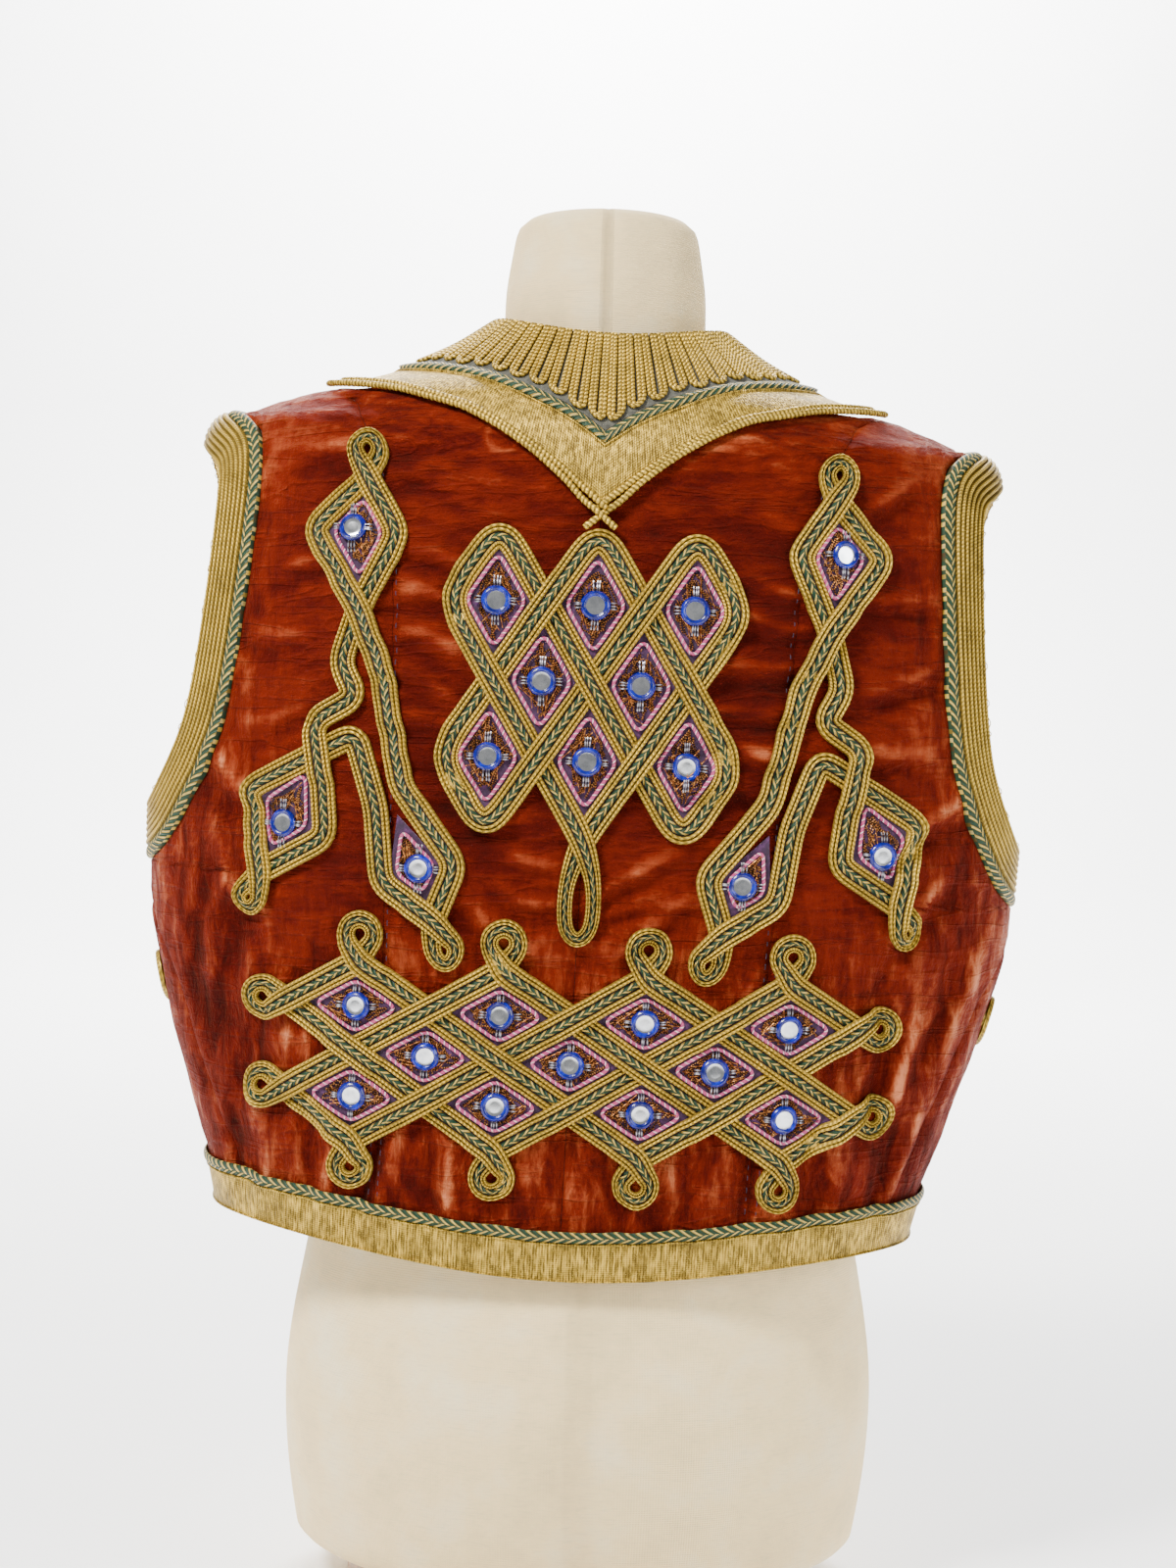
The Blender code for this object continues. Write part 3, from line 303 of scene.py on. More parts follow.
def smooth_curve(keys, values, at):
    """A curve through the rows that never swings past them."""
    keys = np.asarray(keys, float)
    values = np.asarray(values, float)
    step = np.diff(keys)
    rise = np.diff(values) / step
    slope = np.zeros(len(keys))
    product = rise[:-1] * rise[1:]
    total = rise[:-1] + rise[1:]
    same = product > 0
    slope[1:-1][same] = 2 * product[same] / total[same]
    slope[0] = rise[0]
    slope[-1] = rise[-1]
    at = np.clip(at, keys[0], keys[-1])
    i = np.clip(np.searchsorted(keys, at, side="right") - 1, 0, len(step) - 1)
    u = (at - keys[i]) / step[i]
    a = values[i] * (1 + 2 * u) * (1 - u) ** 2 + values[i + 1] * u * u * (3 - 2 * u)
    b = slope[i] * u * (1 - u) ** 2 - slope[i + 1] * u * u * (1 - u)
    return a + b * step[i]


def run_of(points):
    """Length run up to each point of a line, from 0."""
    return np.append(0, np.cumsum(norm(np.diff(points, axis=0), axis=1)))


def read_line(keys, line, at):
    """Every column of a line, read straight between its rows."""
    return np.stack([np.interp(at, keys, line[:, k]) for k in range(line.shape[1])], 1)


def read_smooth(keys, line, at):
    """Both columns of a line, read along smooth curves."""
    return np.stack([smooth_curve(keys, line[:, k], at) for k in (0, 1)], 1)


def column(rows, name, at):
    """One column of a table, read at a value of its first column."""
    return smooth_curve([row[0] for row in rows], [getattr(row, name) for row in rows], at)


def smooth_step(low, high, value):
    u = np.clip((value - low) / (high - low), 0, 1)
    return u * u * (3 - 2 * u)


class RingSurface:
    """A surface through horizontal sections, read by share of each quarter and height.

    The share is 0 at the centre back, 1 at the side line and 2 at the centre front.
    """

    SHARES = 161
    HEIGHT_STEP = 1.0 * MM

    def __init__(self, rows):
        self.low = rows[0].height
        count = int(round((rows[-1].height - self.low) / self.HEIGHT_STEP)) + 1
        self.heights = self.low + np.arange(count) * self.HEIGHT_STEP
        angle = np.linspace(0, pi / 2, 241)
        half = np.linspace(0, 1, (self.SHARES + 1) // 2)
        self.grid = np.zeros((count, self.SHARES, 2))
        self.quarter = np.zeros((count, 2))
        for i, height in enumerate(self.heights):
            wide = column(rows, "half_width", height)
            power = 2 / column(rows, "squareness", height)
            for j, side in enumerate(("back", "front")):
                deep = column(rows, side, height)
                across = wide * np.sin(angle) ** power
                behind = deep * np.abs(np.cos(angle)) ** power
                length = np.append(0, np.cumsum(np.hypot(np.diff(across), np.diff(behind))))
                self.quarter[i, j] = length[-1]
                x = np.interp(half * length[-1], length, across)
                y = np.interp(half * length[-1], length, behind)
                if side == "back":
                    self.grid[i, :len(half)] = np.stack((x, y), 1)
                else:
                    self.grid[i, len(half) - 1:] = np.stack((x, -y), 1)[::-1]

    def level(self, height):
        return np.clip((height - self.low) / self.HEIGHT_STEP, 0, len(self.heights) - 1.001)

    def lengths(self, height):
        """Length of the back quarter and of the front quarter at a height."""
        row = self.level(np.asarray(height, float))
        i = row.astype(int)
        f = (row - i)[..., None]
        both = self.quarter[i] * (1 - f) + self.quarter[i + 1] * f
        return both[..., 0], both[..., 1]

    def plan(self, share, height):
        row = self.level(np.asarray(height, float))
        spot = np.clip(np.asarray(share, float), 0, 2) * (self.SHARES - 1) / 2
        spot = np.minimum(spot, self.SHARES - 1.001)
        i, j = row.astype(int), spot.astype(int)
        f, g = (row - i)[..., None], (spot - j)[..., None]
        low = self.grid[i, j] * (1 - g) + self.grid[i, j + 1] * g
        high = self.grid[i + 1, j] * (1 - g) + self.grid[i + 1, j + 1] * g
        return low * (1 - f) + high * f


VEST = RingSurface(VEST_RINGS)


def share_at(along, height):
    """Share of the quarters for a distance along the cloth from the centre back."""
    back, front = VEST.lengths(height)
    reach = np.abs(along)
    return np.where(reach <= back, reach / back, 1 + (reach - back) / front)


def along_at(across, height):
    """Distance along the cloth for a distance across, seen from behind."""
    shares = np.linspace(0, 1, 81)
    back = float(VEST.lengths(height)[0])
    plan = VEST.plan(shares, np.full(81, float(height)))
    return float(np.sign(across) * np.interp(abs(across), plan[:, 0], shares) * back)


def base_point(along, height):
    plan = VEST.plan(share_at(along, height), height)
    side = np.where(along < 0, -1.0, 1.0)
    return np.stack((plan[..., 0] * side, plan[..., 1], height), -1)


def outward(along, height):
    """Unit normal of the cloth, pointing away from the wearer."""
    step = 2.0 * MM
    side = base_point(along + step, height) - base_point(along - step, height)
    up = base_point(along, height + step) - base_point(along, height - step)
    normal = np.cross(up, side)
    return normal / norm(normal, axis=-1, keepdims=True)


def fold_height(along, height):
    total = np.zeros(np.shape(along))
    for fold in FOLDS:
        across = (along - fold.along) / fold.wide
        up = (height - fold.height) / (fold.long / 2)
        total = total + fold.out * np.exp(-across ** 2 - up ** 4)
    return total


def hem_height(along):
    return HEM_BACK + (HEM_SIDE - HEM_BACK) * smooth_step(0, HEM_REACH, np.abs(along))


def follow_hem(along, height):
    """Height moved with the curve of the hem, fading out above it."""
    level = (HEM_BACK + HEM_SIDE) / 2
    rest = 1 - smooth_step(HEM_FADE[0], HEM_FADE[1], height)
    return height + (hem_height(along) - level) * rest


def neck_height(along):
    return NECK_BACK + (NECK_SIDE - NECK_BACK) * smooth_step(0, 0.08, np.abs(along))


def between(start, end, columns):
    """Rows of places between two edges."""
    share = 1 - (1 - np.linspace(0, 1, columns)[None, :])
    start, end = np.asarray(start, float)[:, None], np.asarray(end, float)[:, None]
    return start + (end - start) * share



def back_length(height):
    return VEST.lengths(height)[0]


def underarm_seam(height):
    return back_length(height) - column(UNDERARM_SEAM, "behind", height)


def armhole_edge(height, side):
    gap = column(ARMHOLE, side, height)
    if side == "back":
        return back_length(height) - gap
    return back_length(height) + gap


def side_back_seam(height):
    """The curved seam down the back, until it meets the shoulder."""
    line = [along_at(column(SIDE_BACK_SEAM, "across", z), z) for z in height]
    return np.minimum(np.array(line), back_length(height) - SEAM_GAP)


def front_edge(height):
    """Distance along the cloth to the open front edge."""
    across = column(FRONT_EDGE, "across", height)
    found = []
    for z, x in zip(height, across):
        shares = np.linspace(1, 2, 81)
        plan = VEST.plan(shares, np.full(81, z))
        share = np.interp(-x, -plan[:, 0], shares)
        back, front = VEST.lengths(z)
        found.append(float(back + (share - 1) * front))
    return np.array(found)


def vee_top(along, level):
    """Heights of the rows below the V: they close up towards its sloping line."""
    top = column(VEE, "cords", np.abs(along) * 0.97)
    share = np.maximum(level - VEE_START, 0) / (VELVET_TOP - VEE_START)
    return np.where(level > VEE_START, VEE_START + (top - VEE_START) * share, level)



def walk(along, height, direction, distance):
    """Go a distance over the cloth from a place, in a direction given in space."""
    pace = 2.0 * MM
    steps = max(1, int(round(distance / pace)))
    pace = distance / steps
    tiny = 0.5 * MM
    for _ in range(steps):
        here = base_point(along, height)
        d_along = (base_point(along + tiny, height) - here) / tiny
        d_height = (base_point(along, height + tiny) - here) / tiny
        frame = np.stack((d_along, d_height), -1)
        move = np.linalg.lstsq(frame, direction, rcond=None)[0]
        taken = frame @ move
        taken = taken / norm(taken)
        move = np.linalg.lstsq(frame, taken, rcond=None)[0]
        along = along + move[0] * pace
        height = height + move[1] * pace
        direction = taken
    return along, height


def vee_line(name):
    """Places along a line of the V, from the right shoulder to the left one."""
    right = [(-along_at(row.across, getattr(row, name)), getattr(row, name)) for row in VEE[:0:-1]]
    left = [(along_at(row.across, getattr(row, name)), getattr(row, name)) for row in VEE]
    top = getattr(VEE_SHOULDER, name)
    shoulder = float(back_length(top)) + 0.004
    line = [(-shoulder, top)] + right + left + [(shoulder, top)]
    return np.array(line)


def refine(line, parts):
    """Each stretch of a line, cut into equal parts."""
    last = len(line) - 1
    steps = np.arange(last).repeat(parts) + np.tile(np.arange(parts) / parts, last)
    steps = np.append(steps, last)
    at = np.arange(len(line))
    return read_line(at, line, steps)


def segment_crossing(a, b, c, d):
    """Shares along ab and cd where they cross, or None."""
    r, s = b - a, d - c
    turn = r[0] * s[1] - r[1] * s[0]
    if abs(turn) < 1e-12:
        return None
    gap = c - a
    t = (gap[0] * s[1] - gap[1] * s[0]) / turn
    u = (gap[0] * r[1] - gap[1] * r[0]) / turn
    if 0 <= t < 1 and 0 <= u < 1:
        return t, u, abs(turn) / norm(r) / norm(s)
    return None


def crossings(strands):
    """Each crossing as two visits, (strand, arc length), and the sine of its angle."""
    runs = []
    for number, line in enumerate(strands):
        arc = 0
        for i in range(len(line)):
            a, b = line[i, :2], line[(i + 1) % len(line), :2]
            length = norm(b - a)
            runs.append((number, i, arc, length, a, b))
            arc += length
    found = []
    for i, one in enumerate(runs):
        for two in runs[i + 2:]:
            if one[0] == two[0] and one[1] == 0 and two[1] == len(strands[one[0]]) - 1:
                continue
            hit = segment_crossing(one[4], one[5], two[4], two[5])
            if hit:
                found.append(((one[0], one[2] + hit[0] * one[3]),
                              (two[0], two[2] + hit[1] * two[3]), hit[2]))
    return found


def over_passes(strands):
    """Where each strand passes over: in turn over and under, as a weaver lays it."""
    found = crossings(strands)
    visits = sorted((visit, number) for number, row in enumerate(found) for visit in row[:2])
    over = {}
    passes = [[] for _ in strands]
    lifted, last = True, None
    for (strand, arc), number in visits:
        if strand != last:
            known = [over[n] for (k, _), n in visits if k == strand and n in over]
            lifted = not known[0] if known else True
            last = strand
        if number in over:
            lifted = not over[number]
        else:
            over[number] = lifted
        if lifted:
            passes[strand].append((arc, found[number][2]))
        lifted = not lifted
    return passes


def pass_lift(arc, whole, passes, width):
    """How far a strand rises at an arc length, to clear what it crosses."""
    rise = 0.0
    for at, sine in passes:
        flat = pass_reach(sine, width)
        away = abs((arc - at + whole / 2) % whole - whole / 2)
        rise = max(rise, min(1, max(0, (flat + PASS_RAMP - away) / PASS_RAMP)))
    return rise * PASS_RISE


def pass_reach(sine, width):
    """Half the length of a crossing, measured along the strand on top."""
    cosine = (1 - min(sine, 1) ** 2) ** 0.5
    return min(width * (1 + cosine) / 2 / sine + 1.5 * MM, width * 1.15)


def to_cloth(points):
    """Places given across and up, as places along the cloth."""
    return [(along_at(x, z), z) for x, z in points]


def knot_place(step):
    return step[0] * KNOT_HALF_WIDE, KNOT_CENTRE + step[1] * KNOT_HALF_HIGH


def lattice_place(step):
    return step[0] * LATTICE_HALF_WIDE, LATTICE_CENTRE + step[1] * LATTICE_HALF_HIGH


def widened(points, width=BRAID_WIDTH):
    return [(along, height, width) for along, height in to_cloth(points)]


def knot_route():
    """One strand, crossing itself from corner to corner, with a drop below."""
    half = [knot_place(s) for s in ((0, 2), (3, -1), (2, -2), (-2, 2), (-3, 1), (0, -2))]
    drop = [(0.0075, 0.408), (0.0075, 0.384), (0.0, 0.376), (-0.0075, 0.384), (-0.0075, 0.408)]
    back = [(-x, z) for x, z in reversed(half)]
    return widened(half) + widened(drop, DROP_WIDTH) + widened(back[:-1])


def lattice_routes():
    """Two closed strands; at each outer corner the braid makes a small round loop."""
    routes = []
    strands = [((1, 2), (4, -1), (3, -2), (-1, 2), (-4, -1), (-3, -2)),
               ((3, 2), (4, 1), (1, -2), (-3, 2), (-4, 1), (-1, -2))]
    for corners in strands:
        places = [np.array(p) for p in to_cloth([lattice_place(s) for s in corners])]
        route = []
        for i, corner in enumerate(places):
            before, after = places[i - 1], places[(i + 1) % len(places)]
            into = (corner - before) / norm(corner - before)
            out_of = (after - corner) / norm(after - corner)
            away = into - out_of
            away = away / norm(away)
            centre = corner + away * LOOP_REACH
            side = np.sign(into[0] * away[1] - into[1] * away[0])
            start = np.arctan2(-away[1], -away[0])
            route.append((*(corner - into * MM), BRAID_WIDTH))
            for turn in (80, 130, 180, 230, 280):
                angle = start + side * radians(turn)
                spot = centre + LOOP_RADIUS * np.array((cos(angle), sin(angle)))
                route.append((*spot, LOOP_WIDTH))
            route.append((*(corner + out_of * MM), BRAID_WIDTH))
        routes.append(route)
    return routes


# The camera: where it stands, how far it looks down and how far it leans.
CAMERA_PLACE = (0.003, 1.25, 0.494)
CAMERA_TILT = radians(1.72)
CAMERA_ROLL = radians(1.5)


# Soft creases in the velvet: where the middle is, across and up, how long and wide it
# is, how deep, and how far it leans from level.
Crease = namedtuple("Crease", "across height long wide deep lean")
CREASES = [Crease(*row) for row in (
    (0.092, 0.628, 0.05, 0.006, 1.1, -0.25),
    (0.088, 0.606, 0.04, 0.005, 0.8, 0.1),
    (0.15, 0.618, 0.04, 0.008, 1.1, 0.35),
    (0.158, 0.56, 0.046, 0.006, 0.9, -0.15),
    (0.172, 0.52, 0.05, 0.007, 1.0, 0.15),
    (0.168, 0.478, 0.046, 0.006, 1.0, -0.2),
    (0.086, 0.566, 0.044, 0.005, 0.9, 0.15),
    (0.09, 0.545, 0.05, 0.005, 1.0, -0.12),
    (0.088, 0.52, 0.046, 0.006, 1.1, 0.1),
    (0.094, 0.502, 0.05, 0.005, 1.0, 0.22),
    (0.086, 0.478, 0.052, 0.006, 1.2, -0.1),
    (0.072, 0.458, 0.056, 0.006, 1.2, 0.12),
    (0.06, 0.436, 0.06, 0.006, 1.2, 0.28),
    (0.036, 0.414, 0.056, 0.006, 1.1, 0.42),
    (0.03, 0.392, 0.05, 0.006, 1.0, 0.3),
    (0.048, 0.372, 0.05, 0.007, 1.0, 0.6),
    (-0.032, 0.404, 0.056, 0.006, 1.1, -0.4),
    (-0.046, 0.378, 0.05, 0.006, 1.1, -0.7),
    (-0.026, 0.388, 0.044, 0.005, 0.9, -0.2),
    (-0.068, 0.452, 0.054, 0.006, 1.3, -0.26),
    (-0.078, 0.474, 0.056, 0.006, 1.4, 0.12),
    (-0.084, 0.494, 0.052, 0.005, 1.2, -0.18),
    (-0.088, 0.516, 0.052, 0.006, 1.3, -0.3),
    (-0.09, 0.538, 0.05, 0.006, 1.2, -0.12),
    (-0.088, 0.56, 0.046, 0.005, 1.0, 0.14),
    (-0.086, 0.592, 0.05, 0.007, 0.9, 0.1),
    (-0.07, 0.622, 0.06, 0.009, 0.9, -0.35),
    (-0.16, 0.612, 0.04, 0.008, 1.1, -0.4),
    (-0.166, 0.556, 0.05, 0.006, 1.0, 0.2),
    (-0.172, 0.512, 0.054, 0.007, 1.1, -0.15),
    (-0.166, 0.474, 0.05, 0.006, 1.0, 0.25),
    (0.19, 0.44, 0.06, 0.007, 1.2, 0.35),
    (-0.192, 0.436, 0.06, 0.007, 1.3, -0.35),
    (0.198, 0.388, 0.06, 0.008, 1.3, 0.8),
    (-0.196, 0.392, 0.06, 0.008, 1.3, -0.8),
    (0.212, 0.352, 0.08, 0.009, 1.3, 1.35),
    (0.186, 0.34, 0.08, 0.008, 1.3, 1.62),
    (0.166, 0.3, 0.08, 0.008, 1.3, 1.5),
    (0.184, 0.264, 0.07, 0.009, 1.4, 1.66),
    (0.142, 0.262, 0.07, 0.007, 1.2, 1.5),
    (0.108, 0.248, 0.054, 0.007, 1.1, 1.72),
    (0.07, 0.244, 0.046, 0.006, 1.0, 1.4),
    (0.03, 0.238, 0.046, 0.006, 0.9, 1.62),
    (-0.026, 0.24, 0.046, 0.006, 0.9, 1.5),
    (-0.064, 0.244, 0.05, 0.006, 1.0, 1.7),
    (-0.1, 0.25, 0.054, 0.007, 1.1, 1.44),
    (-0.136, 0.262, 0.07, 0.007, 1.2, 1.62),
    (-0.176, 0.272, 0.08, 0.009, 1.4, 1.48),
    (-0.17, 0.33, 0.08, 0.008, 1.3, 1.66),
    (-0.206, 0.35, 0.08, 0.009, 1.3, 1.76),
    (0.33, 0.56, 0.08, 0.008, 1.0, 0.2),
    (-0.33, 0.54, 0.08, 0.008, 1.0, -0.2),
    (0.34, 0.44, 0.08, 0.009, 1.1, 0.3),
    (-0.336, 0.43, 0.08, 0.009, 1.1, -0.3),
    (0.41, 0.5, 0.08, 0.009, 1.0, 1.4),
    (-0.41, 0.49, 0.08, 0.009, 1.0, 1.7),
    (0.3, 0.262, 0.08, 0.01, 1.2, 1.6),
    (-0.3, 0.262, 0.08, 0.01, 1.2, 1.5),
    (0.4, 0.29, 0.09, 0.01, 1.1, 1.5),
    (-0.4, 0.29, 0.09, 0.01, 1.1, 1.62),
)]

# The openings of the side motifs, as the corners of the braid round each mirror.
SIDE_OPENINGS = [
    [(0.1235, 0.545), (0.104, 0.585), (0.1235, 0.617), (0.15, 0.586)],
    [(0.14, 0.472), (0.137, 0.424), (0.169, 0.4036), (0.178, 0.444)],
    [(0.101, 0.448), (0.1045, 0.403), (0.077, 0.385), (0.0655, 0.414)],
]

# One row of a band's cross-section: from and to as shares of the half width, how high it
# swells, its finish and how many facets it has.
Row = namedtuple("Row", "start end crown finish cells")
GOLD, PLAIT, DARK = 0, 1, 2
BRAID_PULL = 0.88
BRAID_ROWS = [Row(*row) for row in (
    (-1.00, -0.69, 1.8 * MM, GOLD, 4),
    (-0.69, -0.38, 1.8 * MM, GOLD, 4),
    (-0.38, -0.28, 0.0, DARK, 1),
    (-0.28, 0.28, 1.5 * MM, PLAIT, 6),
    (0.28, 0.38, 0.0, DARK, 1),
    (0.38, 0.69, 1.8 * MM, GOLD, 4),
    (0.69, 1.00, 1.8 * MM, GOLD, 4),
)]
ARMHOLE_ROWS = [Row(-1 + k * 2 / 7, -1 + (k + 1) * 2 / 7, 2.0 * MM, GOLD, 6) for k in range(7)]
PLAIT_ROWS = [Row(-1.0, 1.0, 1.5 * MM, PLAIT, 8)]
GALLOON_ROWS = [
    Row(-1.00, -0.86, 1.0 * MM, GOLD, 3),
    Row(-0.86, 0.86, 0.35 * MM, GOLD, 8),
    Row(0.86, 1.00, 1.0 * MM, GOLD, 3),
]


def crease_height(along, height):
    """The soft unevenness of the quilted cloth: troughs, each with a low ridge beside it."""
    total = np.zeros(np.broadcast(along, height).shape)
    for row in CREASES:
        x, z = along - row.across, height - row.height
        bend = row.wide * 0.6 * np.sin(90 * x + 70 * z + 40 * row.across)
        run = (x * cos(row.lean) + z * sin(row.lean)) / (row.long / 2)
        off = (z * cos(row.lean) - x * sin(row.lean) + bend) / row.wide
        shape = 0.55 * np.exp(-(off - 1.7) ** 2) - np.exp(-off ** 2)
        total = total + CREASE_GAIN * row.deep * MM * shape * np.exp(-run ** 4)
    return total


def cloth_point(along, height, lift, folded=True):
    """Places on the cloth, moved out by lift, with the askew hang of the whole vest."""
    along = np.asarray(along, float)
    height = np.asarray(height, float)
    out = lift + (fold_height(along, height) + crease_height(along, height) if folded else 0)
    points = base_point(along, height) + outward(along, height) * np.asarray(out)[..., None]
    across, up = points[..., 0].copy(), points[..., 2].copy()
    points[..., 0] -= HANG_SLOPE * (up - HANG_PIVOT)
    points[..., 2] += HANG_SLOPE * across
    return points


def linear(code):
    """An sRGB hex colour as linear red, green, blue and alpha."""
    parts = [int(code[i:i + 2], 16) / 255 for i in (0, 2, 4)]
    return tuple(p / 12.92 if p <= 0.04045 else ((p + 0.055) / 1.055) ** 2.4 for p in parts) + (1,)


class Shape:
    """Closed bodies of four-sided faces gathered into one mesh, with places for weave."""

    def __init__(self):
        self.points, self.faces, self.marks, self.finishes = [], [], [], []
        self.count = 0

    def add(self, points, faces, marks, finish):
        points, faces = np.asarray(points, float), np.asarray(faces, int)
        middle = points.mean(0)
        a, b, c, d = (points[faces[:, k]] - middle for k in range(4))
        volume = (np.cross(a, b) * c).sum() + (np.cross(a, c) * d).sum()
        if volume < 0:
            faces, marks = faces[:, ::-1], marks[:, ::-1]
        self.points.append(points)
        self.faces.append(faces + self.count)
        self.marks.append(marks)
        self.finishes.append(np.broadcast_to(finish, len(faces)))
        self.count += len(points)

    def make(self, name, looks, sharp=55):
        points, faces = np.concatenate(self.points), np.concatenate(self.faces)
        mesh = bpy.data.meshes.new(name)
        mesh.vertices.add(len(points))
        mesh.vertices.foreach_set("co", points.ravel())
        mesh.loops.add(faces.size)
        mesh.loops.foreach_set("vertex_index", faces.ravel())
        mesh.polygons.add(len(faces))
        mesh.polygons.foreach_set("loop_start", np.arange(len(faces)) * 4)
        mesh.polygons.foreach_set("material_index", np.concatenate(self.finishes))
        places = mesh.uv_layers.new(name="cloth")
        places.data.foreach_set("uv", np.concatenate(self.marks).ravel())
        for look in looks:
            mesh.materials.append(look)
        mesh.update(calc_edges=True)
        mesh.shade_smooth()
        mesh.set_sharp_from_angle(angle=radians(sharp))
        piece = bpy.data.objects.new(name, mesh)
        bpy.context.scene.collection.objects.link(piece)
        return piece


def grid_faces(rows, columns, first=0, loop=False):
    i = np.arange(rows if loop else rows - 1)[:, None]
    j = np.arange(columns - 1)[None, :]
    a = (i * columns + j).ravel()
    b = (((i + 1) % rows) * columns + j).ravel()
    return np.stack((a, a + 1, b + 1, b), 1) + first


def edge_strip(first, second):
    """Faces between two rows of points, given by number."""
    first, second = np.asarray(first), np.asarray(second)
    return np.stack((first[:-1], first[1:], second[1:], second[:-1]), 1)


def shell(shape, outer, inner, finish=0, inside=None):
    """A closed wall between two grids of points; its marks are metres along and across."""
    rows, columns = outer.shape[:2]
    run = np.zeros((rows, columns))
    rise = np.zeros((rows, columns))
    run[:, 1:] = np.cumsum(norm(np.diff(outer, axis=1), axis=2), 1)
    rise[1:] = np.cumsum(norm(np.diff(outer, axis=0), axis=2), 0)
    mark = np.stack((run, rise), -1).reshape(-1, 2)
    mark = np.concatenate((mark, mark))
    size = rows * columns
    number = np.arange(size).reshape(rows, columns)
    top = grid_faces(rows, columns)
    under = grid_faces(rows, columns)[:, ::-1] + size
    rims = [edge_strip(line, line + size) for line in
            (number[0][::-1], number[-1], number[:, 0], number[::-1, -1])]
    faces = np.concatenate([top, under] + rims)
    finishes = np.full(len(faces), finish)
    if inside is not None:
        finishes[len(top):2 * len(top)] = inside
    shape.add(np.concatenate((outer.reshape(-1, 3), inner.reshape(-1, 3))), faces, mark[faces],
              finishes)


def shares_of(rows):
    """The shares, heights and marks across a band's cross-section."""
    shares, heights = [rows[0].start], [0.0]
    for row in rows:
        part = np.arange(1, row.cells + 1) / row.cells
        shares += list(row.start + (row.end - row.start) * part)
        heights += list(row.crown * np.sin(pi * part) ** 0.55)
    return np.array(shares), np.nan_to_num(np.array(heights))


def band(shape, places, rows, lift, arcs, half, loop=False, base=0.5 * MM):
    """A flat band with raised rows; places are (stations, shares, 2) on the cloth."""
    _, heights = shares_of(rows)
    lift = np.asarray(lift, float)
    lift = lift[:, None] if lift.ndim else lift
    top = cloth_point(places[..., 0], places[..., 1], lift + base + heights)
    ends = places[:, [0, -1]]
    under = cloth_point(ends[..., 0], ends[..., 1], lift + np.zeros((1, 2)))
    count, wide = top.shape[:2]
    size = count * wide
    faces = [grid_faces(count, wide, 0, loop)]
    finishes, marks = [], []
    across, finish = [], []
    for row in rows:
        part = np.linspace(-0.5, 0.5, row.cells + 1) * (row.end - row.start) * half
        across += list(zip(part[:-1], part[1:]))
        finish += [row.finish] * row.cells
    spans = count if loop else count - 1
    arcs = np.append(arcs, arcs[-1] + arcs[1] - arcs[0]) if loop else np.asarray(arcs)
    start, stop = arcs[:-1][:spans], arcs[1:][:spans]
    across = np.array(across)
    u = np.stack((start, start, stop, stop), 1)[:, None, :] + np.zeros((1, wide - 1, 1))
    v = across[None][:, :, [0, 1, 1, 0]] + np.zeros((spans, 1, 1))
    marks.append(np.stack((u, v), -1).reshape(-1, 4, 2))
    finishes.append(np.tile(finish, spans))
    i = np.arange(spans)
    j = (i + 1) % count
    low_i, low_j = size + 2 * i, size + 2 * j
    left = np.stack((i * wide, j * wide, low_j, low_i), 1)
    right = np.stack((i * wide + wide - 1, low_i + 1, low_j + 1, j * wide + wide - 1), 1)
    below = np.stack((low_i, low_j, low_j + 1, low_i + 1), 1)
    faces += [left, right, below]
    side = np.zeros((3 * spans, 4, 2))
    side[..., 0] = np.tile(start, 3)[:, None]
    marks.append(side)
    finishes.append(np.repeat([finish[0], finish[-1], finish[0]], spans))
    faces = np.concatenate(faces)
    finishes = np.concatenate(finishes)
    marks = np.concatenate(marks)
    points = np.concatenate((top.reshape(-1, 3), under.reshape(-1, 3)))
    if not loop:
        for n in (0, count - 1):
            cap, mark = band_end(points, n, wide, size)
            points = np.concatenate((points, mark))
            faces = np.concatenate((faces, cap))
            marks = np.concatenate((marks, np.zeros((len(cap), 4, 2))))
            finishes = np.concatenate((finishes, np.full(len(cap), finish[0])))
    shape.add(points, faces, marks, finishes)


def band_end(points, row, wide, size):
    """Faces that close one end of a band, with the new points they need."""
    low = points[size + 2 * row], points[size + 2 * row + 1]
    share = np.linspace(0, 1, wide)[1:-1, None]
    extra = low[0] * (1 - share) + low[1] * share
    new = np.arange(len(extra)) + len(points)
    under = np.concatenate(([size + 2 * row], new, [size + 2 * row + 1]))
    top = row * wide + np.arange(wide)
    faces = edge_strip(top, under)
    return (faces if row == 0 else faces[:, ::-1]), extra


def cap_faces(ring):
    """Four-sided faces over an even ring of points, given by number."""
    return [(ring[0], ring[k], ring[k + 1], ring[k + 2]) for k in range(1, len(ring) - 2, 2)]


def with_caps(faces, marks, sides, rows):
    """The faces and marks of a tube, with flat caps on its first and last ring."""
    caps = cap_faces(np.arange(sides)[::-1])
    caps += cap_faces(np.arange(sides) + (rows - 1) * sides)
    return np.concatenate((faces, caps)), np.concatenate((marks, np.zeros((len(caps), 4, 2))))


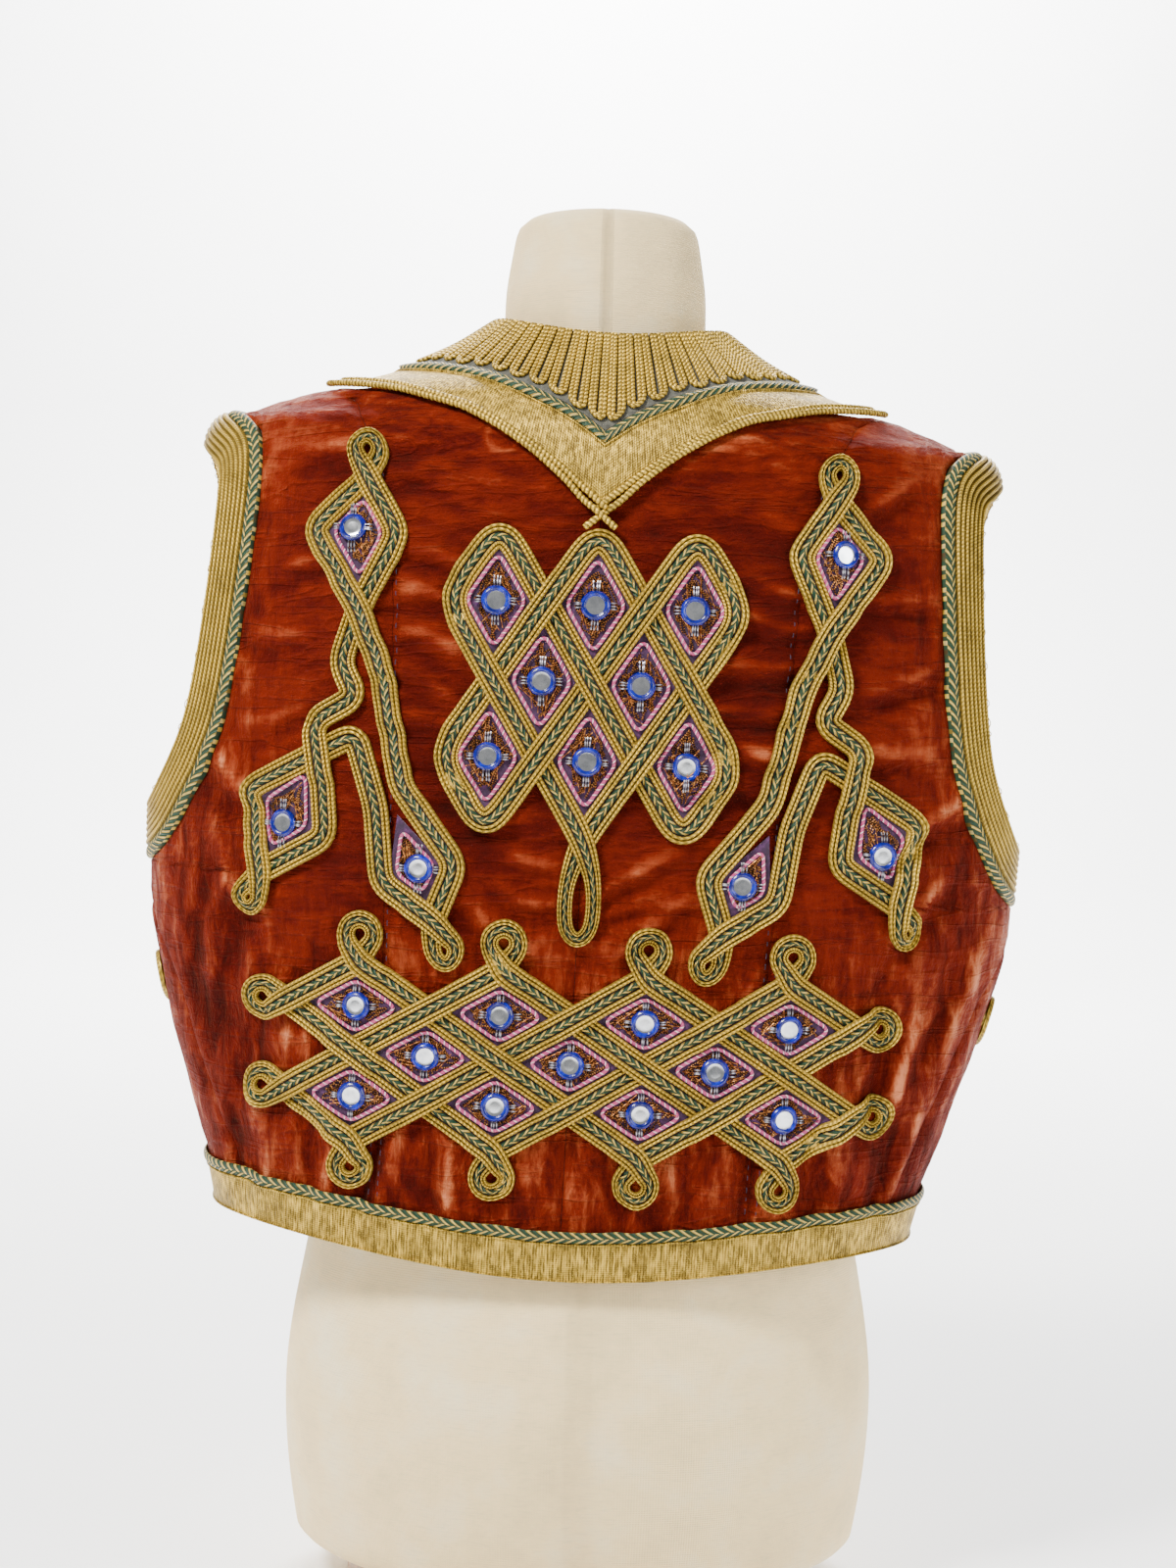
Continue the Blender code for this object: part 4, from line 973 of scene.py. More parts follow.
def thread(shape, path, up, radius, sides=6, finish=0, plies=0, pitch=6 * MM, loop=False):
    """A round thread along a path, or a twisted cord with plies."""
    path, up = np.asarray(path, float), np.broadcast_to(up, np.shape(path))
    if loop:
        ahead = np.roll(path, -1, 0) - np.roll(path, 1, 0)
        gaps = norm(np.roll(path, -1, 0) - path, axis=1)
    else:
        ahead = np.gradient(path, axis=0)
        gaps = np.append(norm(np.diff(path, axis=0), axis=1), 0)
    ahead /= norm(ahead, axis=1, keepdims=True) + 1e-12
    arcs = np.append(0, np.cumsum(gaps))
    rise = up - ahead * (up * ahead).sum(1, keepdims=True)
    rise /= norm(rise, axis=1, keepdims=True) + 1e-12
    aside = np.cross(ahead, rise)
    count = len(path)
    turn = np.arange(sides) * 2 * pi / sides
    reach = np.full((count, sides), float(radius))
    if plies:
        swing = turn[None, :] - 2 * pi * arcs[:count, None] / pitch
        reach = radius * (0.72 + 0.28 * np.abs(np.cos(swing * plies / 2)))
    round_turn = turn[None, :, None]
    ring = aside[:, None] * np.cos(round_turn) + rise[:, None] * np.sin(round_turn)
    points = (path[:, None] + ring * reach[..., None]).reshape(-1, 3)
    spans = count if loop else count - 1
    i = np.arange(spans)[:, None]
    k = np.arange(sides)[None, :]
    ahead_row = (i + 1) % count
    after = (k + 1) % sides
    faces = np.stack((i * sides + k, i * sides + after, ahead_row * sides + after,
                      ahead_row * sides + k), -1).reshape(-1, 4)
    u = np.stack((arcs[:-1][:spans], arcs[:-1][:spans], arcs[1:][:spans], arcs[1:][:spans]), 1)
    v = np.stack((k[0], k[0] + 1, k[0] + 1, k[0]), 1) / sides
    marks = np.stack((np.repeat(u, sides, 0), np.tile(v, (spans, 1))), -1)
    if not loop:
        faces, marks = with_caps(faces, marks, sides, count)
    shape.add(points, faces, marks, finish)


def sew(shape, line, lift, radius, *plan, **more):
    """A thread along a line of places on the cloth."""
    points = cloth_point(line[:, 0], line[:, 1], lift)
    thread(shape, points, outward(line[:, 0], line[:, 1]), radius, *plan, **more)


def cloth_sheet(shape, places, outer, inner):
    """A closed piece of cloth over a grid of places, between two lifts."""
    shell(shape, *(cloth_point(places[..., 0], places[..., 1], lift) for lift in (outer, inner)))


def lathe(shape, centre, up, across, profile, sides, finishes):
    """A turned body: profile rows are (radius, height); both ends are closed flat."""
    rise = np.cross(up, across)
    turn = np.arange(sides) * 2 * pi / sides
    around = across * np.cos(turn)[:, None] + rise * np.sin(turn)[:, None]
    points = np.concatenate([centre + around * r + up * h for r, h in profile])
    faces, finish = [], []
    for row in range(len(profile) - 1):
        k = np.arange(sides)
        after = (k + 1) % sides
        low, high = row * sides, (row + 1) * sides
        faces.append(np.stack((k + low, after + low, after + high, k + high), 1))
        finish += [finishes[row]] * sides
    caps = [cap_faces(np.arange(sides)[::-1]),
            cap_faces(np.arange(sides) + (len(profile) - 1) * sides)]
    finish += [finishes[0]] * len(caps[0]) + [finishes[-1]] * len(caps[1])
    faces = np.concatenate(faces + [np.array(c) for c in caps])
    marks = np.zeros((len(faces), 4, 2))
    offset = points[faces] - centre
    marks[..., 0] = offset @ across
    marks[..., 1] = offset @ rise
    shape.add(points, faces, marks, np.array(finish))


def settle(shape, name, looks, nodes=(), sharp=55):
    """Makes the piece, rides it on the form and hides the solids it stands for."""
    piece = shape.make(name, looks, sharp)
    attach(piece, "root")
    if nodes:
        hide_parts(*nodes)
    return piece


def pile_ripple(along, height):
    """Fine crushed ripples: they run across the middle of the back and down elsewhere."""
    out = np.zeros(along.shape)
    flat_along, flat_height = along.ravel(), height.ravel()
    values = out.ravel()
    for i, (a, z) in enumerate(zip(flat_along, flat_height)):
        across = noise.noise(Vector((a * 45, z * 150, 1.5)))
        down = noise.noise(Vector((a * 130, z * 40, 7.5)))
        share = min(1, max(0, (z - 0.33) / 0.08)) * min(1, max(0, (0.2 - abs(a)) / 0.05))
        values[i] = across * share + down * (1 - share)
    return values.reshape(along.shape)


def velvet_panel(name, side, start, end, levels, height, columns, nodes, looks):
    """One quilted panel: crushed pile outside, seams drawn in at its long edges."""
    share = np.linspace(0, 1, columns)[None, :]
    along = start[:, None] + (end - start)[:, None] * share
    rows = height(along, levels[:, None] + 0 * along)
    wide = (end - start)[:, None]
    near = np.minimum(share, 1 - share) * wide
    sunk = 1.7 * MM * np.exp(-(near / (3.6 * MM)) ** 2)
    ripple = 1.0 * MM * (pile_ripple(along * side, rows) - 0.6)
    outer = cloth_point(along * side, rows, ripple - sunk)
    inner = cloth_point(along * side, rows, -VELVET_THICK)
    shape = Shape()
    shell(shape, outer, inner)
    piece = settle(shape, name, looks, nodes)
    # The crease and ripple relief in millimetres, kept on the mesh as the ridge attribute, from
    # which the velvet's material paints highlight on the ridges and shade in the troughs.
    ridges = crease_height(along * side, rows) + ripple
    worn_and_painted_light = piece.data.attributes.new("ridge", "FLOAT", "POINT")
    worn_and_painted_light.data.foreach_set("value", np.tile(ridges.ravel() / MM, 2))
    return piece


def in_armhole(levels):
    return (levels > ARMHOLE[0].height) & (levels < ARMHOLE[-1].height)


def panel_rows(low=PANEL_LOW, high=VELVET_TOP, step=3.0 * MM):
    return np.linspace(low, high, int(round((high - low) / step)) + 1)


def back_side_height(along, level):
    share = (along - along[:, :1]) / (along[:, -1:] - along[:, :1])
    height = follow_hem(along, level)
    seam = vee_top(along[:, :1], level[:, :1])
    return height + (seam - level[:, :1]) * (1 - share) ** 2 * (level > VEE_START)


def front_start(levels, reach=0):
    hole = armhole_edge(levels, "front") - reach
    start = np.where(in_armhole(levels), hole, back_length(levels))
    start = np.where(levels <= ARMHOLE[0].height, underarm_seam(levels), start)
    return start + SEAM_GAP


def strand_route(line, step=1.7 * MM):
    """Even stations along a closed route: arc lengths, places with width, and the way."""
    ends = np.concatenate((line, line[:1]))
    arcs = run_of(ends[:, :2])
    whole = arcs[-1]
    count = int(whole / step)
    at = np.arange(count) * whole / count
    places = read_line(arcs, ends, at)
    for _ in range(4):
        places = (np.roll(places, 1, 0) + 2 * places + np.roll(places, -1, 0)) / 4
    way = np.roll(places, -2, 0)[:, :2] - np.roll(places, 2, 0)[:, :2]
    way /= norm(way, axis=1, keepdims=True)
    return at, whole, places, way


def lay_braid(shape, line, passes):
    """A three-row braid along a closed route, raised where it passes over."""
    at, whole, places, way = strand_route(line)
    shares, _ = shares_of(BRAID_ROWS)
    turn = np.roll(way, -3, 0) - np.roll(way, 3, 0)
    bend = (way[:, 0] * turn[:, 1] - way[:, 1] * turn[:, 0]) / (6 * whole / len(at))
    bend = (np.roll(bend, 1) + bend + np.roll(bend, -1)) / 3
    aside = np.stack((-way[:, 1], way[:, 0]), 1)
    reach = shares[None, :] * places[:, 2:] / 2 * BRAID_PULL
    limit = 0.86 / (np.abs(bend[:, None]) + 1e-6)
    inner = np.sign(reach) == np.sign(bend[:, None])
    reach = np.where(inner, np.sign(reach) * np.minimum(np.abs(reach), limit), reach)
    spots = places[:, None, :2] + aside[:, None] * reach[..., None]
    rise = np.array([pass_lift(a, whole, passes, w) for a, w in zip(at, places[:, 2])])
    kernel = (np.roll(rise, 1) + 2 * rise + np.roll(rise, -1)) / 4
    band(shape, spots, BRAID_ROWS, BRAID_LIFT - 0.9 * MM + kernel, at, BRAID_WIDTH / 2, loop=True)


def soft_corners(route, radius):
    """A closed route with each corner rounded off; rows are place and width."""
    route = [np.array(row, float) for row in route]
    out = []
    for i, corner in enumerate(route):
        back = route[i - 1] - corner
        ahead = route[(i + 1) % len(route)] - corner
        far_back, far_ahead = norm(back[:2]), norm(ahead[:2])
        if np.dot(back[:2], ahead[:2]) / far_back / far_ahead < -0.985:
            out.append(corner)
            continue
        start = corner + back * min(radius / far_back, 0.42)
        end = corner + ahead * min(radius / far_ahead, 0.42)
        out += [start * (1 - t) ** 2 + corner * 2 * t * (1 - t) + end * t * t
                for t in np.linspace(0, 1, 6)]
    return np.array(out)


def loop_places(values, count):
    """A closed run of places, spaced evenly by their real distance."""
    points = base_point(values[:, 0], values[:, 1])
    points = np.concatenate((points, points[:1]))
    ends = np.concatenate((values, values[:1]))
    arcs = run_of(points)
    at = np.arange(count) * arcs[-1] / count
    return read_line(arcs, ends, at), arcs[-1]


def soften(values, times):
    for _ in range(times):
        values = (np.roll(values, 1, 0) + 2 * values + np.roll(values, -1, 0)) / 4
    return values


def armhole_lines(count=96):
    """Places round the armhole at six distances in from the velvet's edge."""
    heights = np.linspace(ARMHOLE[0].height, ARMHOLE[-1].height, 240)
    back = np.stack((armhole_edge(heights, "back"), heights), 1)
    front = np.stack((armhole_edge(heights, "front"), heights), 1)[-2:0:-1]
    loop, whole = loop_places(np.concatenate((back, front)), count)
    loop = soften(loop, 1)
    points = base_point(loop[:, 0], loop[:, 1])
    ahead = np.roll(points, -1, 0) - np.roll(points, 1, 0)
    inside = np.cross(outward(loop[:, 0], loop[:, 1]), ahead)
    inside /= norm(inside, axis=1, keepdims=True)
    reaches = [-0.8 * MM, CHEVRON_WIDTH, 0.012, 0.018, 0.024, CHEVRON_WIDTH + ROWS_WIDTH]
    lines = []
    for k, reach in enumerate(reaches):
        line = np.array([walk(a, z, d, reach) for (a, z), d in zip(loop, inside)])
        lines.append(soften(line, 1 + 2 * k))
    return np.array(lines), whole


def even_loop(line, count):
    at = np.arange(len(line) + 1)
    ends = np.concatenate((line, line[:1]))
    spots = np.arange(count) * len(line) / count
    return read_line(at, ends, spots)


def spread(lines, shares):
    """Places across a band from its edge lines, at shares from -1 to 1."""
    at = np.linspace(-1, 1, len(lines))
    spot = np.clip(np.searchsorted(at, shares, side="right") - 1, 0, len(lines) - 2)
    part = ((shares - at[spot]) / (at[spot + 1] - at[spot]))[:, None, None]
    lines = np.asarray(lines)
    return (lines[spot] * (1 - part) + lines[spot + 1] * part).transpose(1, 0, 2)


def arc_of(line):
    points = base_point(line[:, 0], line[:, 1])
    return run_of(points)


def even_lines(lines, step):
    """Several lines of places, cut at the same even steps along their middle."""
    middle = lines[len(lines) // 2]
    arcs = arc_of(middle)
    count = max(4, int(arcs[-1] / step))
    at = np.linspace(0, arcs[-1], count)
    cut = [read_smooth(arcs, line, at) for line in lines]
    return cut, at


def colour_setting(name, description, code):
    return bpy.props.FloatVectorProperty(name=name, description=description, subtype="COLOR",
                                         size=4, min=0, max=1, default=linear(code))


class VelvetSettings(PropertyGroup):
    """Colours of the velvet and its lining."""

    pile: colour_setting("Pile", "Colour of the velvet's standing pile", "4C0901")
    shadow: colour_setting("Shadow", "Colour down in the creases", "2A0502")
    # This pale colour tops the velvet's colour ramp, so besides pressed pile it is also the colour
    # of the painted highlight on crease ridges, pucker lines, shoulders, sides and lower back.
    crushed: colour_setting("Crushed", "Colour where the pile is pressed flat", "CC7A50")
    lining: colour_setting("Lining", "Colour of the cotton lining", "17171A")


class TrimSettings(PropertyGroup):
    """Colours and thread sizes of the braid, cords and bands."""

    gold: colour_setting("Gold", "Colour of the gilt thread", "E8C046")
    # This dark gold is the tarnish colour, and also painted shade: between the stitches, at the
    # edges of the braid rows and where the plait's strands meet.
    worn_and_painted_light: colour_setting("Worn gold", "Colour between the threads and where it is worn", "5E480A")
    green: colour_setting("Green", "Colour of the green silk in the plait", "053A24")
    stitch: bpy.props.FloatProperty(
        name="Stitch", description="Length of one stitch of the gilt braid", subtype="DISTANCE",
        unit="LENGTH", default=2.4 * MM, min=0.5 * MM, max=10 * MM)
    plait: bpy.props.FloatProperty(
        name="Plait", description="Length of one chevron of the plait", subtype="DISTANCE",
        unit="LENGTH", default=5.8 * MM, min=1 * MM, max=20 * MM)


class OrnamentSettings(PropertyGroup):
    """Colours of the mirrors and what is sewn round them."""

    cloth: colour_setting("Dark cloth", "Colour of the cloth under the mirrors", "37163A")
    ring: colour_setting("Ring", "Colour of the ring round each mirror", "020C7C")
    pink: colour_setting("Pink", "Colour of the pink strand in the twist", "B23C6E")


class FormSettings(PropertyGroup):
    """Colours of the dress form."""

    linen: colour_setting("Linen", "Colour of the form's cover", "FFE2A6")
    wood: colour_setting("Wood", "Colour of the foot", "A87C50")


def new_look(name, **sockets):
    """A material with its even values set on the shader's own sockets.

    It comes with the function that adds a node to it and with the shader's sockets.
    """
    look = bpy.data.materials.new(name)
    look.use_nodes = True
    surface = look.node_tree.nodes["Principled BSDF"].inputs
    for socket, value in sockets.items():
        surface[socket.replace("_", " ")].default_value = value
    return look, partial(add_node, look.node_tree), surface


def add_node(tree, kind, inputs=(), out=0, to=None, stops=(), **settings):
    """Adds a node with its settings and links, and gives back one of its outputs.

    The kind may have the node's operation after it. The inputs are values or other nodes'
    outputs, in order or by name; stops are a ramp's places and colours; to is the socket
    that the output goes on to.
    """
    kind, *operation = kind.split()
    made = tree.nodes.new("ShaderNode" + kind)
    if operation:
        made.operation = operation[0]
    for name, value in settings.items():
        setattr(made, name, value)
    for name, value in inputs.items() if isinstance(inputs, dict) else enumerate(inputs):
        if isinstance(value, bpy.types.NodeSocket):
            tree.links.new(value, made.inputs[name])
        else:
            made.inputs[name].default_value = value
    for _ in stops[2:]:
        made.color_ramp.elements.new(0.5)
    for number, (place, colour) in enumerate(stops):
        made.color_ramp.elements[number].position = place
        made.color_ramp.elements[number].color = colour
    if to:
        tree.links.new(made.outputs[out], to)
    return made.outputs[out]


def place_on_cloth(node):
    """Metres along and across a band, from its own marks."""
    marks = node("UVMap", uv_map="cloth")
    return [node("SeparateXYZ", [marks], out=way) for way in "XY"]


def in_space(node, stretch=(1, 1, 1)):
    """Metres in the space of the whole vest, or drawn together along each axis."""
    place = node("TexCoord", out="Object")
    return node("Mapping", {"Vector": place, "Scale": stretch})


def cloud(node, scale, detail=4, roughness=0.55, distortion=0, stretch=(1, 1, 1)):
    """Soft unevenness from 0 to 1 in the vest's space, with scale of its patches a metre."""
    return node("TexNoise",
                {"Vector": in_space(node, stretch), "Scale": scale, "Detail": detail,
                 "Roughness": roughness, "Distortion": distortion})


def darker(colour, share):
    return tuple(c * share for c in colour[:3]) + (1,)


def pressed_ring(node):
    """The faint round mark of something once pinned on the left shoulder."""
    spot = node("VectorMath DISTANCE", [in_space(node), PIN_PLACE], out="Value")
    off = node("Math ABSOLUTE", [node("Math SUBTRACT", [spot, 9.0 * MM])])
    return node("MapRange", [off, 0.0, 3.0 * MM, 0.09, 0.0])


def mottled(name, scale, detail, stops, **sockets):
    """A material that one cloud colours, with the cloud for its other uses."""
    look, node, surface = new_look(name, **sockets)
    mottle = cloud(node, scale, detail)
    node("ValToRGB", [mottle], stops=stops, to=surface["Base Color"])
    return look, node, surface, mottle


def crushed_velvet(settings):
    """Silk velvet, cut pile, pressed and crushed by wear.

    The pile stands at odd angles, so patches a centimetre across go from deep brick red
    to a pale, pinkish copper, and the edges carry a soft sheen. Painted light is laid into
    the colour too: painted highlight at the shoulders, the sides and the lower back, on the
    creases' ridges and along thin pucker lines, and painted shade in the creases' troughs.
    """
    look, node, surface = new_look("crushed_silk_velvet", Sheen_Weight=0.07, Sheen_Roughness=0.35,
                                   Sheen_Tint=linear("F08A5A"), Specular_IOR_Level=0.08, IOR=1.45)
    patches = cloud(node, 46, 6, 0.66, 0.25, stretch=(1, 1, 3.0))
    upright = cloud(node, 44, 6, 0.68, 0.35, stretch=(2.6, 2.0, 0.8))
    broad = cloud(node, 13, 3, 0.5)
    # Zones at the shoulders, the sides and the lower back: there the patches run another way, and
    # a painted highlight makes the velvet paler and more patchy where light catches the curves of
    # the form.
    sideways, height = (node("SeparateXYZ", [in_space(node)], out=way) for way in "XZ")
    low = node("MapRange", [height, 0.45, 0.34])
    top = node("MapRange", [height, 0.6, 0.67])
    sideways = node("Math ABSOLUTE", [sideways])
    side = node("MapRange", [sideways, 0.13, 0.2])
    where = node("Math MAXIMUM", [low, side])
    grain = node("Mix", {"Factor": where, "A": patches, "B": upright})
    worn_and_painted_light = node("Math MAXIMUM", [where, top])
    swing = node("Math MULTIPLY_ADD", [worn_and_painted_light, 0.46, 0.34])
    pressed = node("Math MULTIPLY_ADD", [broad, 0.45, node("Math MULTIPLY", [grain, 0.9])])
    pressed = node("Math MULTIPLY", [node("Math SUBTRACT", [pressed, 0.675]), swing])
    bias = node("Math MULTIPLY_ADD", [worn_and_painted_light, 0.056, node("Math ADD", [pressed, 0.508])])
    bias = node("Math ADD", [bias, pressed_ring(node)])
    # Thin pucker lines: bumped, and given a painted highlight that makes the velvet paler along
    # them.
    pucker = cloud(node, 48, 2, 0.45, 0.9, stretch=(0.3, 0.3, 2.1))
    fold = node("Math ABSOLUTE", [node("Math SUBTRACT", [pucker, 0.5])])
    fold = node("MapRange", [fold, 0.0, 0.06, 1.0, 0.0])
    bias = node("Math MULTIPLY_ADD", [fold, 0.028, bias])
    # Painted highlight on the crease ridges and painted shade in their troughs: the mesh's ridge
    # relief lifts the colour up the ramp where it stands out and lowers it where it sinks.
    ridge = node("Attribute", out="Fac", attribute_name="ridge")
    bias = node("Math MULTIPLY_ADD", [node("Math MAXIMUM", [ridge, 0.0]), 0.105, bias])
    bias = node("Math MULTIPLY_ADD", [node("Math MINIMUM", [ridge, 0.0]), 0.02, bias])
    node("ValToRGB", [bias],
         stops=[(0.36, settings.shadow), (0.48, settings.pile), (0.58, linear("6A1703")),
                (0.67, linear("8E3B1B")), (0.8, settings.crushed)], to=surface["Base Color"])
    node("MapRange", [bias, 0.45, 0.7, 0.82, 0.5], to=surface["Roughness"])
    fine = cloud(node, 900, 2)
    crumple = node("Math MULTIPLY_ADD", [grain, 1.0, node("Math MULTIPLY", [fine, 0.1])])
    crumple = node("Math MULTIPLY_ADD", [fold, 0.16, crumple])
    node("Bump", {"Height": crumple, "Distance": 7.0 * MM}, to=surface["Normal"])
    return look


def cotton_lining(settings):
    """Plain black cotton, soft with use: a dull weave, greyer in soft random patches."""
    look, node, surface, _ = mottled(
        "black_cotton", 60, 4, [(0.35, settings.lining), (0.75, linear("34343A"))],
        Roughness=0.88, Sheen_Weight=0.15)
    along, across = place_on_cloth(node)
    weave = node("Math MULTIPLY",
                 [node("Math SINE", [node("Math MULTIPLY", [along, 5200])]),
                  node("Math SINE", [node("Math MULTIPLY", [across, 5200])])])
    node("Bump", {"Height": weave, "Distance": 0.2 * MM}, to=surface["Normal"])
    return look


def gilt_thread(name, settings, pattern, worn_and_painted_light=0.5, lift=0.45 * MM):
    """Gilt thread over a cotton core, gone dull: soft metal glints on a straw colour, and
    painted glints laid into the colour at random specks.

    pattern gives, from the marks, a value from 0 between stitches to 1 on top of one; the
    colour darkens towards 0, as painted shade between the stitches.
    """
    look, node, surface = new_look(name, Metallic=0.55, Anisotropic=0.35)
    along, across = place_on_cloth(node)
    relief = pattern(node, along, across)
    grime = cloud(node, 75, 4, 0.6)
    painted_glint = cloud(node, 1500, 2, 0.5)
    # Painted shade: the colour goes to the darker gold where the pattern is low, between the
    # stitches and ribs and towards the edges of the braid rows.
    base = node("MixRGB", [relief, settings.worn_and_painted_light, settings.gold])
    aged = node("MapRange", [grime, 0.44, 0.7, 0.0, worn_and_painted_light])
    aged = node("MixRGB", [aged, base, darker(settings.worn_and_painted_light, 0.8)])
    # Painted glints: random specks of the colour lightened to a pale gold.
    bright = node("MapRange", [painted_glint, 0.6, 0.72, 0, 0.55])
    node("MixRGB", [bright, aged, linear("EACB5C")], to=surface["Base Color"])
    node("MapRange", [relief, 0, 1, 0.62, 0.4], to=surface["Roughness"])
    node("Bump", {"Height": node("Math MULTIPLY_ADD", [painted_glint, 0.35, relief]), "Distance": lift},
         to=surface["Normal"])
    return look


def wave(node, value):
    """A rounded wave from 0 to 1, one crest for each whole number."""
    turn = node("Math COSINE", [node("Math MULTIPLY", [value, 2 * pi])])
    return node("Math MULTIPLY_ADD", [turn, 0.5, 0.5])


def slanted(pitch, lean):
    """Stitches that slant along a round cord."""
    def pattern(node, along, across):
        turn = node("Math MULTIPLY_ADD", [along, 1 / pitch, node("Math MULTIPLY", [across, lean])])
        return wave(node, turn)
    return pattern


def herringbone(pitch):
    """Stitches that meet in the middle of each row."""
    def pattern(node, along, across):
        off = node("Math ABSOLUTE", [across])
        turn = node("Math MULTIPLY", [off, 1 / (2.2 * MM)])
        stitch = wave(node, node("Math MULTIPLY_ADD", [along, 1 / pitch, turn]))
        # Painted shade for the grooves between rows: the stitches sink and darken towards the
        # row's edges.
        edge = node("MapRange", [off, 0.55 * MM, 1.2 * MM, 1.0, 0.15])
        return node("Math MULTIPLY", [node("Math MULTIPLY_ADD", [stitch, 0.75, 0.25]), edge])
    return pattern


def woven_ribs(node, along, across):
    """A flat band: weft ribs across it, crossed by closer warp threads.

    The ribs are 1.5 mm apart, three times the real spacing, so that they show.
    """
    ribs = wave(node, node("Math MULTIPLY", [along, 1 / (1.5 * MM)]))
    warp = wave(node, node("Math MULTIPLY", [across, 1 / (1.1 * MM)]))
    uneven = cloud(node, 220, 3, stretch=(3.0, 3.0, 0.6))
    both = node("Math MULTIPLY_ADD", [ribs, 0.45, node("Math MULTIPLY", [warp, 0.25])])
    streak = node("MapRange", [uneven, 0.38, 0.64, -0.3, 0.45])
    return node("Clamp", {"Value": node("Math ADD", [streak, both])})


def green_gold_plait(settings):
    """Flat plait of green silk and gilt cord: chevrons of green, straw and gilt in turn."""
    look, node, surface = new_look("green_and_gilt_plait", Roughness=0.58, Metallic=0.15)
    along, across = place_on_cloth(node)
    turn = node("Math MULTIPLY", [node("Math ABSOLUTE", [across]), -1 / (3.4 * MM)])
    turn = node("Math MULTIPLY_ADD", [along, 1 / settings.plait, turn])
    side = node("Math GREATER_THAN", [across, 0.0])
    turn = node("Math MULTIPLY_ADD", [side, 0.5, turn])
    share = node("Math FRACT", [turn])
    # The dark stops where green meets gilt and at the end of each chevron are painted shade
    # between the strands.
    colour = node("ValToRGB", [share],
                  stops=[(0.0, settings.green), (0.56, settings.green),
                         (0.6, darker(settings.worn_and_painted_light, 0.6)), (0.66, settings.gold),
                         (0.78, linear("C9B26A")), (0.9, settings.gold),
                         (0.97, darker(settings.worn_and_painted_light, 0.4))])
    grime = cloud(node, 500, 3)
    shade = node("MapRange", [grime, 0.35, 0.65, 0.35, 0.0])
    node("MixRGB", [shade, colour, darker(settings.worn_and_painted_light, 0.4)], to=surface["Base Color"])
    node("Bump", {"Height": wave(node, node("Math MULTIPLY", [turn, 2.0])), "Distance": 0.6 * MM},
         to=surface["Normal"])
    return look


def dark_gap(settings):
    """The shadowed velvet between two braids."""
    stops = [(0.35, darker(settings.shadow, 0.35)), (0.7, settings.shadow)]
    return mottled("velvet_between_braids", 300, 3, stops, Roughness=0.9)[0]


def wool_cloth():
    """Fulled grey wool: matt, with a short haze of fibre."""
    look, node, surface, mottle = mottled(
        "grey_fulled_wool", 420, 4, [(0.3, linear("33332E")), (0.7, linear("5C5B50"))],
        Roughness=0.95, Sheen_Weight=0.3)
    node("Bump", {"Height": mottle, "Distance": 0.4 * MM}, to=surface["Normal"])
    return look


def purple_cloth(settings):
    """Fine worsted, dyed dark purple: almost black in the folds, plum where it catches light."""
    stops = [(0.32, darker(settings.cloth, 0.45)), (0.55, settings.cloth),
             (0.75, linear("5C2E5E"))]
    look, node, surface, _ = mottled("purple_worsted", 260, 4, stops, Roughness=0.85,
                                     Sheen_Weight=0.2)
    node("Bump", {"Height": cloud(node, 1400, 2), "Distance": 0.25 * MM}, to=surface["Normal"])
    return look


def two_ply(settings):
    """Silk twist of one pink and one white strand: slanting stripes of the two."""
    look, node, surface = new_look("pink_and_white_silk_twist", Roughness=0.55, Sheen_Weight=0.2)
    along, across = place_on_cloth(node)
    turn = node("Math FRACT", [node("Math MULTIPLY_ADD", [along, 1 / (3.4 * MM), across])])
    node("ValToRGB", [turn],
         stops=[(0.0, settings.pink), (0.76, settings.pink), (0.7, linear("D98AA0")),
                (0.92, linear("EAD8D2")), (0.99, settings.pink)], to=surface["Base Color"])
    node("Bump", {"Height": wave(node, node("Math MULTIPLY", [turn, 2.0])), "Distance": 0.3 * MM},
         to=surface["Normal"])
    return look


def bullion_wire(name, bright, dull, pitch):
    """Coiled bullion wire: close turns with a painted highlight on their crowns and painted
    shade between them, dimmed in random stains.
    """
    look, node, surface = new_look(name, Metallic=0.75, Roughness=0.38)
    along, _ = place_on_cloth(node)
    coil = wave(node, node("Math MULTIPLY", [along, 1 / pitch]))
    stain = cloud(node, 260, 3)
    shade = node("Math MULTIPLY", [coil, stain])
    # Painted light: the colour goes from dull, as painted shade between the turns and in the
    # random stains, to bright, as painted highlight on each turn.
    node("ValToRGB", [shade], stops=[(0.08, dull), (0.45, bright)], to=surface["Base Color"])
    node("Bump", {"Height": coil, "Distance": 0.15 * MM}, to=surface["Normal"])
    return look


def ring_enamel(settings):
    """Lacquered blue cord ring: glossy, wavering a little in depth of colour."""
    look, node, surface, mottle = mottled(
        "blue_lacquered_ring", 240, 3,
        [(0.35, darker(settings.ring, 0.45)), (0.52, settings.ring), (0.72, linear("0426BE"))],
        Roughness=0.24, Coat_Weight=0.25, Coat_Roughness=0.08, IOR=1.45)
    node("Bump", {"Height": mottle, "Distance": 0.35 * MM}, to=surface["Normal"])
    return look


def silvered_glass():
    """Thin silvered mica glass: bright, with faint clouding and scratches."""
    look, node, surface, mottle = mottled(
        "silvered_glass", 170, 4, [(0.3, linear("C9CDD2")), (0.6, linear("F4F6F8"))],
        Metallic=1.0, Roughness=0.08)
    node("MapRange", [mottle, 0, 1, 0.05, 0.22], to=surface["Roughness"])
    return look


